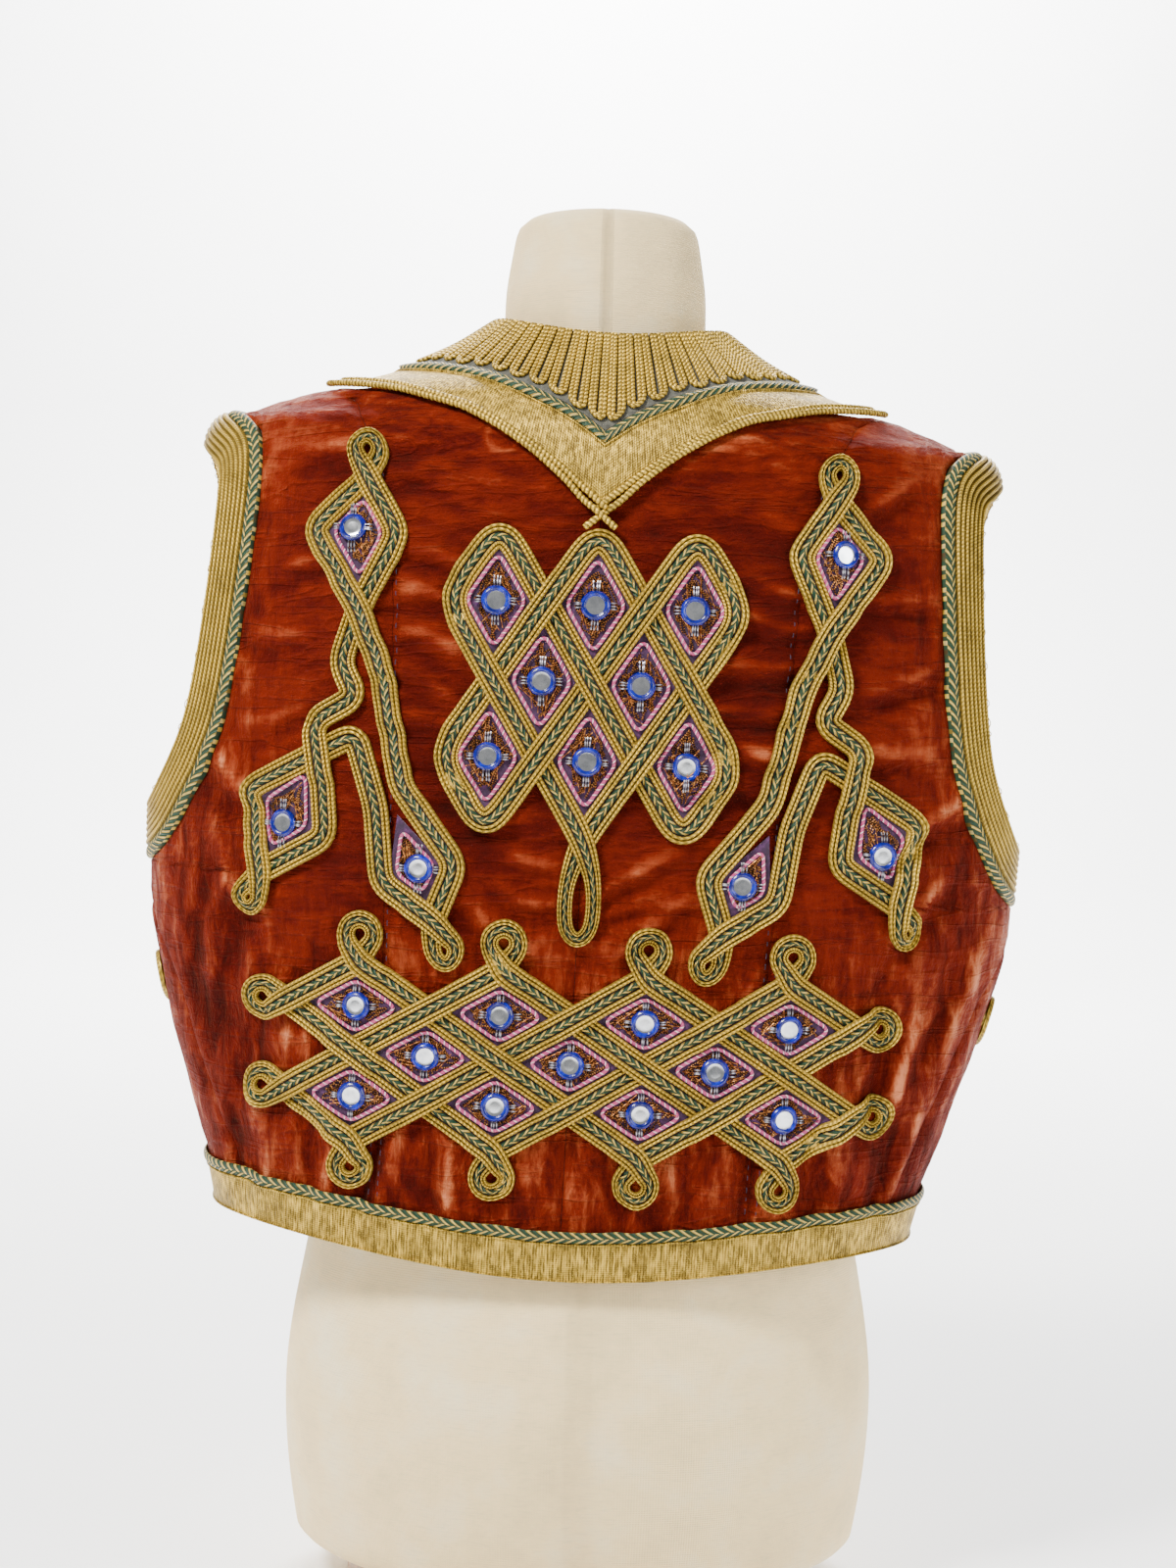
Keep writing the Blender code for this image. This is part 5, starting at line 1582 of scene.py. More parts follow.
def linen_cover(settings):
    """Plain-woven linen, sized with paste: a cream cloth with slubs and faint marks.

    The threads are 1.2 mm apart, twice the real spacing, so that they show.
    """
    look, node, surface = new_look("sized_linen", Roughness=0.86, Sheen_Weight=0.12)
    along, across = place_on_cloth(node)
    marks = cloud(node, 26, 5, 0.6)
    slub = cloud(node, 120, 3, stretch=(1, 1, 9))
    colour = node("ValToRGB", [marks],
                  stops=[(0.3, darker(settings.linen, 0.86)), (0.5, settings.linen),
                         (0.75, linear("FFEDC0"))])
    shade = node("MapRange", [slub, 0.5, 0.8, 0, 0.25])
    node("MixRGB", [shade, colour, linear("B9A988")], to=surface["Base Color"])
    weave = node("Math ADD",
                 [wave(node, node("Math MULTIPLY", [along, 1 / (1.2 * MM)])),
                  wave(node, node("Math MULTIPLY", [across, 1 / (1.2 * MM)]))])
    node("Bump", {"Height": weave, "Distance": 0.12 * MM}, to=surface["Normal"])
    return look


def turned_beech(settings):
    """Beech, turned on a lathe and waxed: short flecks along a straight grain."""
    look, node, surface = new_look("waxed_beech", Roughness=0.42, Coat_Weight=0.15)
    grain = cloud(node, 18, 5, 0.6, 0.4, stretch=(1, 14, 1))
    node("ValToRGB", [grain], stops=[(0.35, darker(settings.wood, 0.62)), (0.65, settings.wood)],
         to=surface["Base Color"])
    node("Bump", {"Height": grain, "Distance": 0.2 * MM}, to=surface["Normal"])
    return look


def painted_board():
    """Matt emulsion on a smooth board: near white, very faintly uneven."""
    stops = [(0.3, linear("FAFAF9")), (0.7, linear("FEFEFE"))]
    return mottled("matt_white_board", 1.5, 2, stops, Roughness=0.9)[0]


class VEST_OT_form(Operator):
    """Build the stuffed linen torso and its turned foot"""

    bl_idname = "vest.form"
    bl_label = "Dress form"

    def execute(self, context):
        settings = context.scene.vest_form
        levels = np.linspace(FORM_RINGS[0].height, FORM_RINGS[-1].height, 190)
        close = [middle + shift for middle in (0, pi) for shift in (-0.036, -0.018, 0.018, 0.036)]
        turn = np.sort(np.array([k * 2 * pi / 96 for k in range(96)] + close) % (2 * pi))
        sides = len(turn)
        turn = np.append(turn, turn[0])
        points = []
        for z in levels:
            wide = float(column(FORM_RINGS, "half_width", z))
            power = 2 / float(column(FORM_RINGS, "squareness", z))
            back = float(column(FORM_RINGS, "back", z))
            front = float(column(FORM_RINGS, "front", z))
            deep = np.where(np.cos(turn) >= 0, back, front)
            seam = 1.2 * MM * np.exp(-(np.sin(turn) * wide / (1.4 * MM)) ** 2)
            x = wide * np.sign(np.sin(turn)) * np.abs(np.sin(turn)) ** power
            y = (deep - seam) * np.sign(np.cos(turn)) * np.abs(np.cos(turn)) ** power
            points.append(np.stack((x, y, np.full(sides + 1, z)), 1))
        points = np.array(points)[:, :sides]
        shape = Shape()
        rows = len(levels)
        i = np.arange(rows - 1)[:, None]
        k = np.arange(sides)[None, :]
        after = (k + 1) % sides
        low, high = i * sides, (i + 1) * sides
        faces = np.stack((low + k, low + after, high + after, high + k), -1).reshape(-1, 4)
        around = np.stack((k, k + 1, k + 1, k), -1) / sides * 0.95 + np.zeros((rows - 1, 1, 1))
        up = np.stack((i, i, i + 1, i + 1), -1) * 4.0 * MM + np.zeros((1, sides, 1))
        marks = np.stack((around, up), -1).reshape(-1, 4, 2)
        faces, marks = with_caps(faces, marks, sides, rows)
        shape.add(points.reshape(-1, 3), faces, marks, 0)
        settle(shape, "form_linen", [linen_cover(settings)], ["form_torso"])
        foot = Shape()
        edge = 2.5 * MM
        profile = [(FOOT_RADIUS - edge, 0), (FOOT_RADIUS - 0.4 * MM, 0.8 * MM),
                   (FOOT_RADIUS, edge), (FOOT_RADIUS, FOOT_THICK - 2 * edge),
                   (FOOT_RADIUS - 1.2 * MM, FOOT_THICK - edge),
                   (FOOT_RADIUS - 4.0 * MM, FOOT_THICK - 0.6 * MM),
                   (FOOT_RADIUS - 8.0 * MM, FOOT_THICK)]
        lathe(foot, np.zeros(3), np.array((0, 0, 1.0)), np.array((1.0, 0, 0)), profile, 96,
              [0] * len(profile))
        settle(foot, "form_foot_turned", [turned_beech(settings)], ["form_foot"])
        return {"FINISHED"}


class VEST_OT_velvet(Operator):
    """Build the six quilted velvet panels"""

    bl_idname = "vest.velvet"
    bl_label = "Velvet"

    def execute(self, context):
        looks = [crushed_velvet(context.scene.vest_velvet)]
        rows = panel_rows()
        seam = side_back_seam(rows)
        side_rows = panel_rows(high=SHOULDER_ROW + 6.5 * MM)
        side_seam = side_back_seam(side_rows)
        hole = np.where(in_armhole(side_rows), armhole_edge(side_rows, "back"),
                        back_length(side_rows))
        hole = np.where(side_rows <= ARMHOLE[0].height, underarm_seam(side_rows), hole)
        for word, side in SIDES:
            velvet_panel(
                "velvet_back_centre_" + word, side, np.full(len(rows), SEAM_GAP / 2),
                seam - SEAM_GAP, rows, lambda a, z: vee_top(a, follow_hem(a, z)), 38,
                ["back_centre_" + word], looks)
            velvet_panel(
                "velvet_back_side_" + word, side, side_seam, hole - SEAM_GAP, side_rows,
                back_side_height, 44, ["back_side_" + word], looks)
            velvet_panel(
                "velvet_front_" + word, side, front_edge(rows), front_start(rows), rows,
                follow_hem, 84, ["front_" + word], looks)
        return {"FINISHED"}


class VEST_OT_lining(Operator):
    """Build the black lining"""

    bl_idname = "vest.lining"
    bl_label = "Lining"

    def execute(self, context):
        looks = [cotton_lining(context.scene.vest_velvet)]
        levels = panel_rows(PANEL_LOW + 8 * MM, VELVET_TOP, 5 * MM)
        whole = back_length(levels)
        reach = np.where(levels < LINING_SHOULDER, LINING_REACH, 0)
        end = np.where(levels <= ARMHOLE[0].height, underarm_seam(levels), whole)
        end = np.where(in_armhole(levels), armhole_edge(levels, "back") + reach, end)
        end = np.minimum(end, whole) - SEAM_GAP
        share = np.linspace(-1, 1, 71)[None, :]
        along = end[:, None] * share
        height = vee_top(np.abs(along), follow_hem(along, levels[:, None] + 0 * along))
        shape = Shape()
        shell(shape, self.surface(along, height, 0), self.surface(along, height, LINING_THICK))
        back = settle(shape, "lining_back_cotton", looks, ["lining_back"])
        for word, side in SIDES:
            start = np.maximum(front_start(levels, reach), np.where(in_armhole(levels), whole, 0))
            along = between(front_edge(levels) - 0.004, start, 40) * side
            height = follow_hem(along, levels[:, None] + 0 * along)
            shape = Shape()
            shell(shape, self.surface(along, height, 0),
                  self.surface(along, height, LINING_THICK))
            front = settle(shape, "lining_front_cotton_" + word, looks,
                           ["lining_front_" + word])
        return {"FINISHED"}

    def surface(self, along, height, depth):
        slack = 0.6 * MM * np.sin(along * 60) * np.sin(height * 34)
        return cloth_point(along, height, LINING_TOP - depth + slack, folded=False)


def lay_strip(lines, rows, width, name, looks, node, lift=TRIM_LIFT - 0.2 * MM):
    """One piece of flat band between two lines on the cloth."""
    shares, _ = shares_of(rows)
    arcs = arc_of((lines[0] + lines[1]) / 2)
    shape = Shape()
    band(shape, spread(lines, shares), rows, lift, arcs, width / 2)
    settle(shape, name, looks, [node])


class VEST_OT_bands(Operator):
    """Build the woven bands round the hem and down the front edges"""

    bl_idname = "vest.bands"
    bl_label = "Hem and front bands"

    def execute(self, context):
        trim = context.scene.vest_trim
        woven = gilt_thread("woven_gilt_band", trim, woven_ribs, 0.75, 0.35 * MM)
        plait = green_gold_plait(trim)
        edge = float(front_edge(np.array([HEM_BACK + 0.02]))[0])
        along = np.linspace(-edge, edge, 520)
        low = hem_height(along)
        lines = [np.stack((along, low + t), 1) for t in
                 (0, GALLOON_WIDTH, GALLOON_WIDTH + CHEVRON_WIDTH)]
        lay_strip(lines[:2], GALLOON_ROWS, GALLOON_WIDTH, "hem_band_woven", [woven],
                  "hem_galloon")
        lay_strip(lines[1:], PLAIT_ROWS, CHEVRON_WIDTH, "hem_plait", [woven, plait],
                  "hem_chevron")
        levels = np.linspace(HEM_SIDE + GALLOON_WIDTH + CHEVRON_WIDTH + MM, VELVET_TOP - 8 * MM,
                             180)
        for word, side in SIDES:
            edge = front_edge(levels)
            lines = [np.stack((e * side, levels), 1) for e in (edge, edge - GALLOON_WIDTH)]
            lay_strip(lines, GALLOON_ROWS, GALLOON_WIDTH, "front_band_woven_" + word, [woven],
                      "front_galloon_" + word)
        return {"FINISHED"}


class VEST_OT_armholes(Operator):
    """Build the rows of braid round each armhole, with the plait and frayed threads"""

    bl_idname = "vest.armholes"
    bl_label = "Armhole braid"

    def execute(self, context):
        trim = context.scene.vest_trim
        braid = gilt_thread("gilt_braid_rows", trim, herringbone(trim.stitch), 0.55)
        plait = green_gold_plait(trim)
        frayed = bullion_wire("frayed_gilt_thread", linear("F0CE62"), linear("9A7420"), 2 * MM)
        lines, whole = armhole_lines()
        count = 300
        lines = np.array([even_loop(line, count) for line in lines])
        arcs = np.arange(count) * whole / count
        for word, side in SIDES:
            mirrored = lines * (side, 1)
            for name, node, edges, rows, width, rise, looks, slot in (
                    ("braid", "rows", mirrored[1:], ARMHOLE_ROWS, ROWS_WIDTH, 0.6 * MM,
                     [braid], "gold_braid"),
                    ("plait", "chevron", mirrored[:2], PLAIT_ROWS, CHEVRON_WIDTH, 0.9 * MM,
                     [braid, plait], "plait")):
                shape = Shape()
                places = spread(edges, shares_of(rows)[0])
                band(shape, places, rows, -VELVET_THICK, arcs, width / 2, loop=True,
                     base=VELVET_THICK + rise)
                settle(shape, f"armhole_{name}_{word}", looks, [f"armhole_{node}_{word}"])
            self.fray(mirrored[-1], word, frayed)
        return {"FINISHED"}

    def fray(self, edge, word, look):
        """Loose gilt threads that have worked out of the last row."""
        chance = random.Random(7 if word == "left" else 11)
        shape = Shape()
        for _ in range(90):
            spot = chance.randrange(len(edge))
            start = edge[spot]
            way = edge[(spot + 3) % len(edge)] - start
            way /= norm(way) + 1e-9
            length = chance.uniform(3, 9) * MM
            lift = chance.uniform(0.2, 2.4) * MM
            at = np.linspace(0, 1, 6)[:, None]
            bow = at * (1 - at)
            path = start + way * length * (at - 0.5) + chance.uniform(-1.2, 0.6) * MM * bow
            sew(shape, path, 0.4 * MM + lift * (4 * bow)[:, 0], 0.28 * MM, 4)
        settle(shape, "armhole_frayed_" + word, [look])


class VEST_OT_collar(Operator):
    """Build the collar: grey wool, cord fingers, plait, woven V and its edge cords"""

    bl_idname = "vest.collar"
    bl_label = "Collar"

    def execute(self, context):
        trim = context.scene.vest_trim
        woven = gilt_thread("woven_gilt_neck_band", trim, woven_ribs, 0.6, 0.35 * MM)
        cord = gilt_thread("twisted_gilt_cord", trim, slanted(2.6 * MM, 1.0), 0.45, 0.3 * MM)
        plait = green_gold_plait(trim)
        edge, cords, plait_low, plait_high = (
            self.line(name) for name in ("edge", "cords", "plait_low", "plait_high"))
        lay_strip([cords - (0, 1.5 * MM), plait_low], GALLOON_ROWS, NECK_BAND_WIDTH,
                  "neck_band_woven", [woven], "neck_galloon", TRIM_LIFT)
        lay_strip([plait_low, plait_high], PLAIT_ROWS, CHEVRON_WIDTH, "collar_plait",
                  [woven, plait], "collar_chevron", TRIM_LIFT + 0.9 * MM)
        self.edge_cords(edge, cords, cord)
        self.fingers(cord, wool_cloth())
        return {"FINISHED"}

    def line(self, name):
        """The line of the V up to just short of the shoulders, with a sharp turn at its tip."""
        coarse = vee_line(name)
        middle = len(coarse) // 2
        out = []
        for part in (coarse[:middle + 1], coarse[middle:]):
            arcs = arc_of(part)
            at = np.linspace(0, arcs[-1], 110)
            out.append(read_smooth(arcs, part, at))
        whole = np.concatenate((out[0], out[1][1:]))
        return whole[BAND_SHORTER:-BAND_SHORTER]

    def edge_cords(self, edge, cords, look):
        """Two thick twisted cords along each side of the V; they cross under its tip."""
        shape = Shape()
        middle = len(edge) // 2
        for side in (-1, 1):
            for k, share in enumerate((0.3, 0.78)):
                line = edge * (1 - share) + cords * share
                line = line[:middle + 1] if side < 0 else line[middle:][::-1]
                line = line[:-2 - 2 * k]
                way = line[-1] - line[-6]
                way /= norm(way)
                tail = [line[-1] + way * t for t in np.linspace(1.5, 15 - 3 * k, 8) * MM]
                line = np.concatenate((line, tail))
                line, _ = even_lines([line], 1.1 * MM)
                line = line[0]
                away = np.arange(len(line))[::-1] * 1.1 * MM
                over = 1.8 * MM if side > 0 else 0.0
                lift = TRIM_LIFT + 1.9 * MM + over * (1 - smooth_step(0.012, 0.024, away))
                sew(shape, line, lift, 2.0 * MM, 10, plies=2, pitch=8 * MM)
        settle(shape, "neck_edge_cords", [look])

    def fingers(self, look, wool):
        """Cords laid up and down in close loops, from the V to the neck edge."""
        top = refine(vee_line("plait_high"), 2)
        far = np.abs(top[:, 0]) / np.abs(top[:, 0]).max()
        low = top + np.stack((0 * far, COLLAR_GAP * (1 + 2.5 * far ** 4)), 1)
        share = low[:, 0] / float(back_length(VEE_SHOULDER.plait_high))
        high = np.stack((share * float(back_length(NECK_SIDE)), neck_height(low[:, 0] * 0.6)), 1)
        lines, _ = even_lines([low, (low + high) / 2, high], 3 * MM)
        along = arc_of(low)
        at = np.linspace(0, along[-1], FINGERS + 1)
        low, high = (read_smooth(along, line, at)
                     for line in (low, high))
        ground = Shape()
        steps = np.linspace(0, 1, 14)[:, None, None]
        places = lines[0][None] * (1 - steps) + lines[2][None] * steps
        cloth_sheet(ground, places, TRIM_LIFT, TRIM_LIFT - 0.6 * MM)
        piece = settle(ground, "collar_wool", [wool], ["collar_ground"])
        shape = Shape()
        at = np.arange(len(low))
        chance = random.Random(3)
        for finger in range(FINGERS):
            shorter = chance.uniform(0.0, 0.05)
            for inset in (0.13, 0.335):
                left, right = finger + inset, finger + 1 - inset
                base, neck = (read_line(at, line, (left, right)) for line in (low, high))
                wide = norm(base_point(*base[0]) - base_point(*base[1])) / 2
                long = norm(base_point(*base[0]) - base_point(*neck[0]))
                start = shorter + (0.045 if inset > 0.2 else 0.02) + wide / long
                down = base[0] + (neck[0] - base[0]) * np.linspace(1, start, 22)[:, None]
                rise = base[1] + (neck[1] - base[1]) * np.linspace(start, 1, 22)[:, None]
                half = (rise[0] - down[-1]) / 2
                drop = (base[0] - neck[0]) / long * wide * 0.9
                turn = np.linspace(0, pi, 9)[1:-1, None]
                bend = down[-1] + half - half * np.cos(turn) + drop * np.sin(turn)
                path = np.concatenate((down, bend, rise))
                sew(shape, path, TRIM_LIFT + 1.05 * MM, 1.22 * MM, 8)
        settle(shape, "collar_cord_fingers", [look], ["collar_cords"])


def strands_of(group):
    if group == "motif_centre":
        return [soft_corners(knot_route(), 15 * MM)]
    if group == "motif_lower":
        return [np.array(route) for route in lattice_routes()]
    side = 1 if group.endswith("left") else -1
    if "side" in group:
        places = to_cloth([(c.across * side, c.height) for c in SIDE_MOTIF])
        return [soft_corners([(*p, c.wide) for p, c in zip(places, SIDE_MOTIF)], 6 * MM)]
    return [soft_corners([(c.across * side, c.height, c.wide) for c in FRONT_MOTIF], 9 * MM)]


class VEST_OT_braids(Operator):
    """Build the laid braid motifs, woven over and under themselves"""

    bl_idname = "vest.braids"
    bl_label = "Braid motifs"

    def execute(self, context):
        trim = context.scene.vest_trim
        looks = [gilt_thread("gilt_braid_laid", trim, herringbone(trim.stitch), 0.4),
                 green_gold_plait(trim), dark_gap(context.scene.vest_velvet)]
        groups = ["motif_centre", "motif_lower", "motif_side_left", "motif_side_right",
                  "motif_front_left", "motif_front_right"]
        for group in groups:
            strands = strands_of(group)
            for number, (line, passes) in enumerate(zip(strands, over_passes(strands))):
                node = group + ("_" + "ab"[number] if len(strands) > 1 else "")
                shape = Shape()
                lay_braid(shape, line, passes)
                settle(shape, node + "_braid", looks, [node])
        return {"FINISHED"}


def openings():
    """Each mirror's opening: which motif, the mirror's place and the braid's corners."""
    out = []
    for group, steps, place in (("centre", KNOT_MIRRORS, knot_place),
                                ("lower", LATTICE_MIRRORS, lattice_place)):
        for i, j in steps:
            around = [(i, j + 1), (i - 1, j), (i, j - 1), (i + 1, j)]
            out.append((group, place((i, j)), [place(s) for s in around]))
    for word, side in SIDES:
        for mirror, corners in zip(SIDE_MIRRORS, SIDE_OPENINGS):
            out.append(("side_" + word, (mirror.across * side, mirror.height),
                        [(x * side, z) for x, z in corners]))
    return [(group, np.array(to_cloth([centre])[0]), np.array(to_cloth(corners)))
            for group, centre, corners in out]


def drawn_in(corners, distance):
    """The corners of an opening, moved in from its sides by a distance."""
    middle = corners.mean(0)
    sides = np.roll(corners, -1, 0) - corners
    inward = middle - corners
    across = np.abs(sides[:, 0] * inward[:, 1] - sides[:, 1] * inward[:, 0])
    near = (across / norm(sides, axis=1)).mean()
    return middle - inward * max(0.1, 1 - distance / near)


class VEST_OT_openings(Operator):
    """Build the dark cloth, bullion wire, silk twist and grey threads round the mirrors"""

    bl_idname = "vest.openings"
    bl_label = "Embroidered openings"

    def execute(self, context):
        ornament = context.scene.vest_ornament
        cloth, twist = purple_cloth(ornament), two_ply(ornament)
        brown = bullion_wire("copper_bullion", linear("A8703C"), linear("2E180C"), 1.3 * MM)
        straw = bullion_wire("copper_thread", linear("D08C4A"), linear("7A4420"), 4 * MM)
        grey = bullion_wire("grey_silk_thread", linear("B4B0B8"), linear("5A5560"), 3 * MM)
        found = openings()
        for group in ("centre", "lower", "side_left", "side_right"):
            chosen = [row for row in found if row[0] == group]
            node = {"centre": ["ground_centre"], "lower": ["ground_lower"]}.get(group, [])
            ground, pink, wire = Shape(), Shape(), Shape()
            for number, (_, centre, corners) in enumerate(chosen):
                chance = random.Random(number * 13 + len(group))
                self.patch(ground, drawn_in(corners, 4.8 * MM))
                self.twist(pink, drawn_in(corners, 8.5 * MM))
                self.scribble(wire, centre, drawn_in(corners, 9.4 * MM), chance)
                self.spokes(wire, centre, chance)
            settle(ground, "dark_cloth_" + group, [cloth], node)
            settle(pink, "silk_twist_" + group, [twist])
            settle(wire, "bullion_" + group, [brown, straw, grey])
        return {"FINISHED"}

    def patch(self, shape, corners):
        top = np.linspace(0, 1, 9)[:, None, None]
        side = np.linspace(0, 1, 9)[None, :, None]
        a, b, c, d = corners
        places = (a * (1 - side) + b * side) * (1 - top) + (d * (1 - side) + c * side) * top
        cloth_sheet(shape, places, GROUND_LIFT + 0.5 * MM, GROUND_LIFT - 0.3 * MM)

    def twist(self, shape, corners):
        route = soft_corners([(*corner, 0) for corner in corners], 5 * MM)[:, :2]
        line, _ = loop_places(route, 90)
        line = soften(line, 2)
        sew(shape, line, 1.9 * MM, 0.95 * MM, 6, loop=True)

    def scribble(self, shape, centre, corners, chance):
        """Bullion couched in tangles round the mirror, with straight threads across."""
        def spot(reach):
            angle = chance.uniform(0, 2 * pi)
            i = int(angle / (pi / 2)) % 4
            part = angle / (pi / 2) - int(angle / (pi / 2))
            rim = corners[i] * (1 - part) + corners[(i + 1) % 4] * part
            return centre + (rim - centre) * reach
        for _ in range(4):
            knots = [spot(chance.uniform(0.45, 0.98)) for _ in range(16)]
            route = np.array(sorted(knots, key=lambda p: np.arctan2(*(p - centre))))
            at = np.arange(len(route))
            fine = np.linspace(0, len(route) - 1, 90)
            line = read_line(at, route, fine)
            wobble = np.stack((np.sin(fine * 4.1 + chance.uniform(0, 6)),
                               np.cos(fine * 5.3 + chance.uniform(0, 6))), 1)
            line = line + wobble * 1.1 * MM
            lift = 1.5 * MM + 0.5 * MM * np.sin(fine * 2.7)
            sew(shape, line, lift, 0.42 * MM, 4)
        for _ in range(14):
            start, stop = spot(chance.uniform(0.5, 1)), spot(chance.uniform(0.5, 1))
            part = np.linspace(0, 1, 5)[:, None]
            line = start * (1 - part) + stop * part
            lift = 2.0 * MM + 0.4 * MM * np.sin(pi * part[:, 0])
            sew(shape, line, lift, 0.24 * MM, 4, 1)

    def spokes(self, shape, centre, chance):
        """Three grey stitches on each of the ring's four sides."""
        for way in ((1, 0), (-1, 0), (0, 1), (0, -1)):
            way = np.array(way, float)
            aside = np.array((-way[1], way[0]))
            for k in (-1, 0, 1):
                lean = aside * (k + chance.uniform(-0.3, 0.3)) * 1.15 * MM
                part = np.linspace(0, 1, 7)[:, None]
                reach = (6.2 + (6.3 if way[1] else 4.6) * part + 0.4 * chance.random()) * MM
                line = centre + way * reach + lean * (1 + 0.25 * part)
                lift = (2.6 + 0.5 * np.sin(pi * part[:, 0]) - 0.6 * part[:, 0]) * MM
                sew(shape, line, lift, 0.42 * MM, 5, 2)


class VEST_OT_mirrors(Operator):
    """Build the round mirrors in their blue rings"""

    bl_idname = "vest.mirrors"
    bl_label = "Mirrors"

    def execute(self, context):
        ornament = context.scene.vest_ornament
        looks = [ring_enamel(ornament), silvered_glass()]
        profile = [(7.2, 0.0), (7.6, 0.5), (7.65, 1.3), (7.2, 2.2), (6.3, 2.75), (5.5, 2.6),
                   (4.95, 2.1), (4.8, 1.7), (4.75, 1.68), (2.6, 1.85)]
        finishes = [0, 0, 0, 0, 0, 0, 0, 0, 1, 1]
        groups = {}
        for number, (group, centre, _) in enumerate(openings()):
            group = "sides" if group.startswith("side") else group
            groups.setdefault(group, []).append((number, centre))
        chance = random.Random(5)
        for group, rows in groups.items():
            shape = Shape()
            for _, (along, height) in rows:
                foot = cloth_point(along, height, MIRROR_LIFT - 0.6 * MM)
                up = cloth_point(along, height, MIRROR_LIFT + MM) - foot
                up /= norm(up)
                across = np.cross(up, (0, 0, 1))
                across /= norm(across)
                up = up + across * chance.uniform(-0.09, 0.09)
                up = up + np.array((0, 0, chance.uniform(-0.09, 0.09)))
                up /= norm(up)
                across -= up * (across @ up)
                across /= norm(across)
                size = chance.uniform(0.97, 1.03)
                lathe(shape, foot, up, across, [(r * size * MM, h * MM) for r, h in profile],
                      MIRROR_SIDES, finishes)
            nodes = [f"mirror_{number:02d}" for number, _ in rows]
            settle(shape, "mirrors_" + group, looks, nodes, 38)
        return {"FINISHED"}


class VEST_OT_stitches(Operator):
    """Sew the running stitches that show along the seams"""

    bl_idname = "vest.stitches"
    bl_label = "Seam stitches"

    def execute(self, context):
        stops = [(0.3, linear("15131F")), (0.7, linear("33304A"))]
        look = mottled("dark_sewing_thread", 700, 3, stops, Roughness=0.7)[0]
        shape = Shape()
        chance = random.Random(2)
        for side in (-1, 1):
            for low, high, shift in ((0.235, 0.64, -2.6 * MM), (0.235, 0.38, 3.0 * MM)):
                z = low
                while z < high:
                    long = chance.uniform(1.8, 3.0) * MM
                    part = np.linspace(0, 1, 5)
                    heights = z + part * long
                    along = (side_back_seam(heights) + shift) * side
                    lift = 0.55 * MM * np.sin(pi * part) - 0.1 * MM
                    sew(shape, np.stack((along, heights), 1), lift, 0.24 * MM, 4)
                    z += long + chance.uniform(2.5, 4.5) * MM
        settle(shape, "seam_stitches", [look])
        return {"FINISHED"}


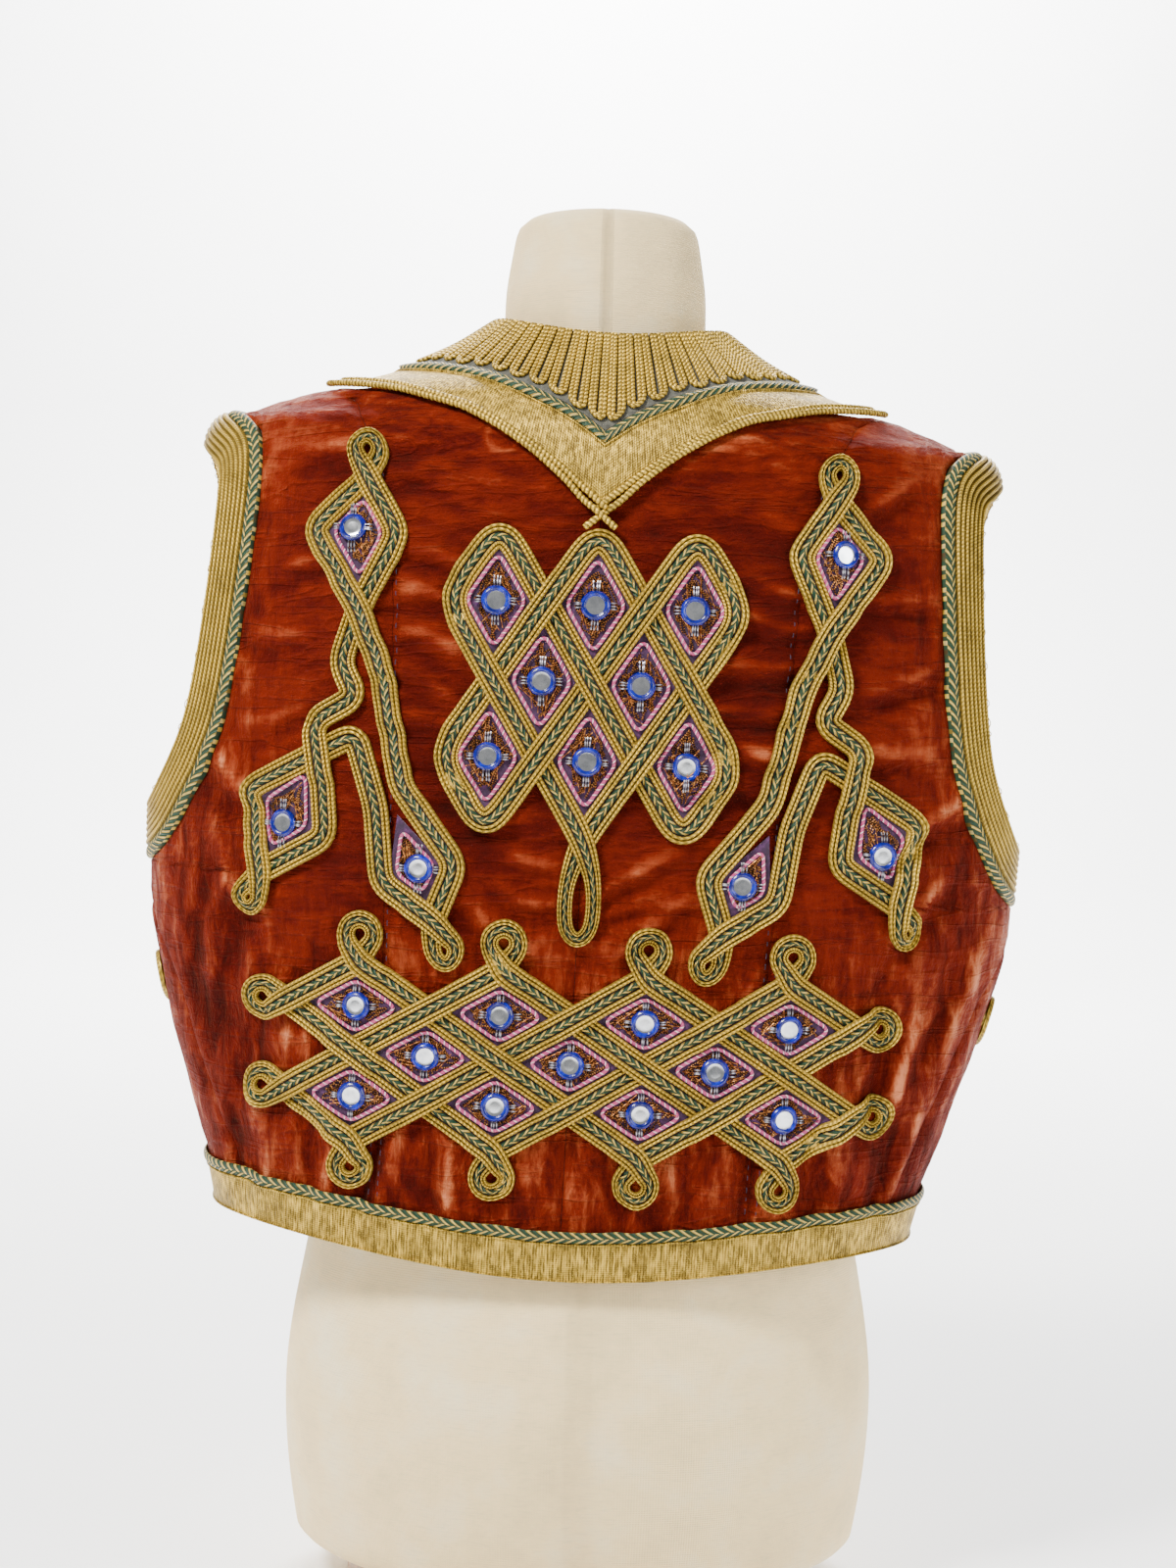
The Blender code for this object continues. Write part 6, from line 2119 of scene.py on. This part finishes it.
class VEST_OT_stage(Operator):
    """Set the pale floor and backdrop, the soft lights and the camera"""

    bl_idname = "vest.stage"
    bl_label = "Stage"

    def execute(self, context):
        self.backdrop()
        self.lights(context)
        self.camera(context)
        return {"FINISHED"}

    def backdrop(self):
        """A floor that sweeps up behind the form in one curve."""
        turn = np.linspace(0, pi / 2, 25)
        radius, far = 1.2, BACKDROP_FAR
        line = [(4.5, 0.0)] + [(far + radius * (1 - sin(a)), radius * (1 - cos(a)))
                               for a in turn] + [(far, 5.0)]
        across = np.linspace(-5, 5, 11)
        outer = np.array([[(x, y, z) for x in across] for y, z in line])
        shape = Shape()
        shell(shape, outer, outer - (0, 0.002, 0.004))
        floor = shape.make("studio_floor", [painted_board()])

    def lights(self, context):
        for name, place, size, power, colour in (
                ("key", (1.05, 1.15, 2.05), 0.5, 96, (1.0, 0.98, 0.95)),
                ("fill", (-1.7, 1.1, 1.0), 1.2, 26, (0.96, 0.98, 1.0)),
                ("backdrop", (0.0, -2.3, 3.2), 2.0, 620, (1.0, 1.0, 1.0))):
            lamp = bpy.data.lights.new(name, "AREA")
            lamp.shape = "DISK"
            lamp.size = size
            lamp.energy = power
            lamp.color = colour
            light = bpy.data.objects.new(name, lamp)
            light.location = place
            target = Vector((0, BACKDROP_FAR, 0.6)) if name == "backdrop" else Vector((0, 0, 0.45))
            aim = target - light.location
            light.rotation_euler = aim.to_track_quat("-Z", "Y").to_euler()
            context.scene.collection.objects.link(light)
        world = context.scene.world or bpy.data.worlds.new("studio")
        context.scene.world = world
        world.use_nodes = True
        sky = world.node_tree.nodes["Background"]
        sky.inputs["Color"].default_value = (1, 1, 1, 1)
        sky.inputs["Strength"].default_value = 0.33

    def camera(self, context):
        lens = bpy.data.cameras.new("camera")
        lens.lens = 50
        eye = bpy.data.objects.new("camera", lens)
        level = Matrix(((-1, 0, 0), (0, 0, 1), (0, 1, 0))).to_4x4()
        tilt = Matrix.Rotation(-CAMERA_TILT, 4, "X")
        roll = Matrix.Rotation(CAMERA_ROLL, 4, "Z")
        eye.matrix_world = Matrix.Translation(CAMERA_PLACE) @ level @ tilt @ roll
        context.scene.collection.objects.link(eye)
        context.scene.camera = eye


class VEST_PT_panel(Panel):
    """Lists the pieces of the vest and their settings"""

    bl_label = "Folk vest"
    bl_idname = "VEST_PT_panel"
    bl_space_type = "VIEW_3D"
    bl_region_type = "UI"
    bl_category = "Vest"

    def draw(self, context):
        for group in SETTINGS:
            box = self.layout.box()
            settings = getattr(context.scene, group)
            for name in type(settings).__annotations__:
                box.prop(settings, name)
        for step in STEPS:
            self.layout.operator(step.bl_idname)


SETTINGS = {"vest_velvet": VelvetSettings, "vest_trim": TrimSettings,
            "vest_ornament": OrnamentSettings, "vest_form": FormSettings}
STEPS = (VEST_OT_form, VEST_OT_velvet, VEST_OT_lining, VEST_OT_bands, VEST_OT_armholes,
         VEST_OT_collar, VEST_OT_braids, VEST_OT_openings, VEST_OT_mirrors, VEST_OT_stitches,
         VEST_OT_stage)
CLASSES = tuple(SETTINGS.values()) + STEPS + (VEST_PT_panel,)


def register():
    for kind in CLASSES:
        bpy.utils.register_class(kind)
    for name, kind in SETTINGS.items():
        setattr(bpy.types.Scene, name, bpy.props.PointerProperty(type=kind))


def unregister():
    for name in SETTINGS:
        delattr(bpy.types.Scene, name)
    for kind in reversed(CLASSES):
        bpy.utils.unregister_class(kind)


def main():
    register()
    for step in STEPS:
        getattr(bpy.ops.vest, step.bl_idname.split(".")[1])()


if __name__ == "__main__":
    main()
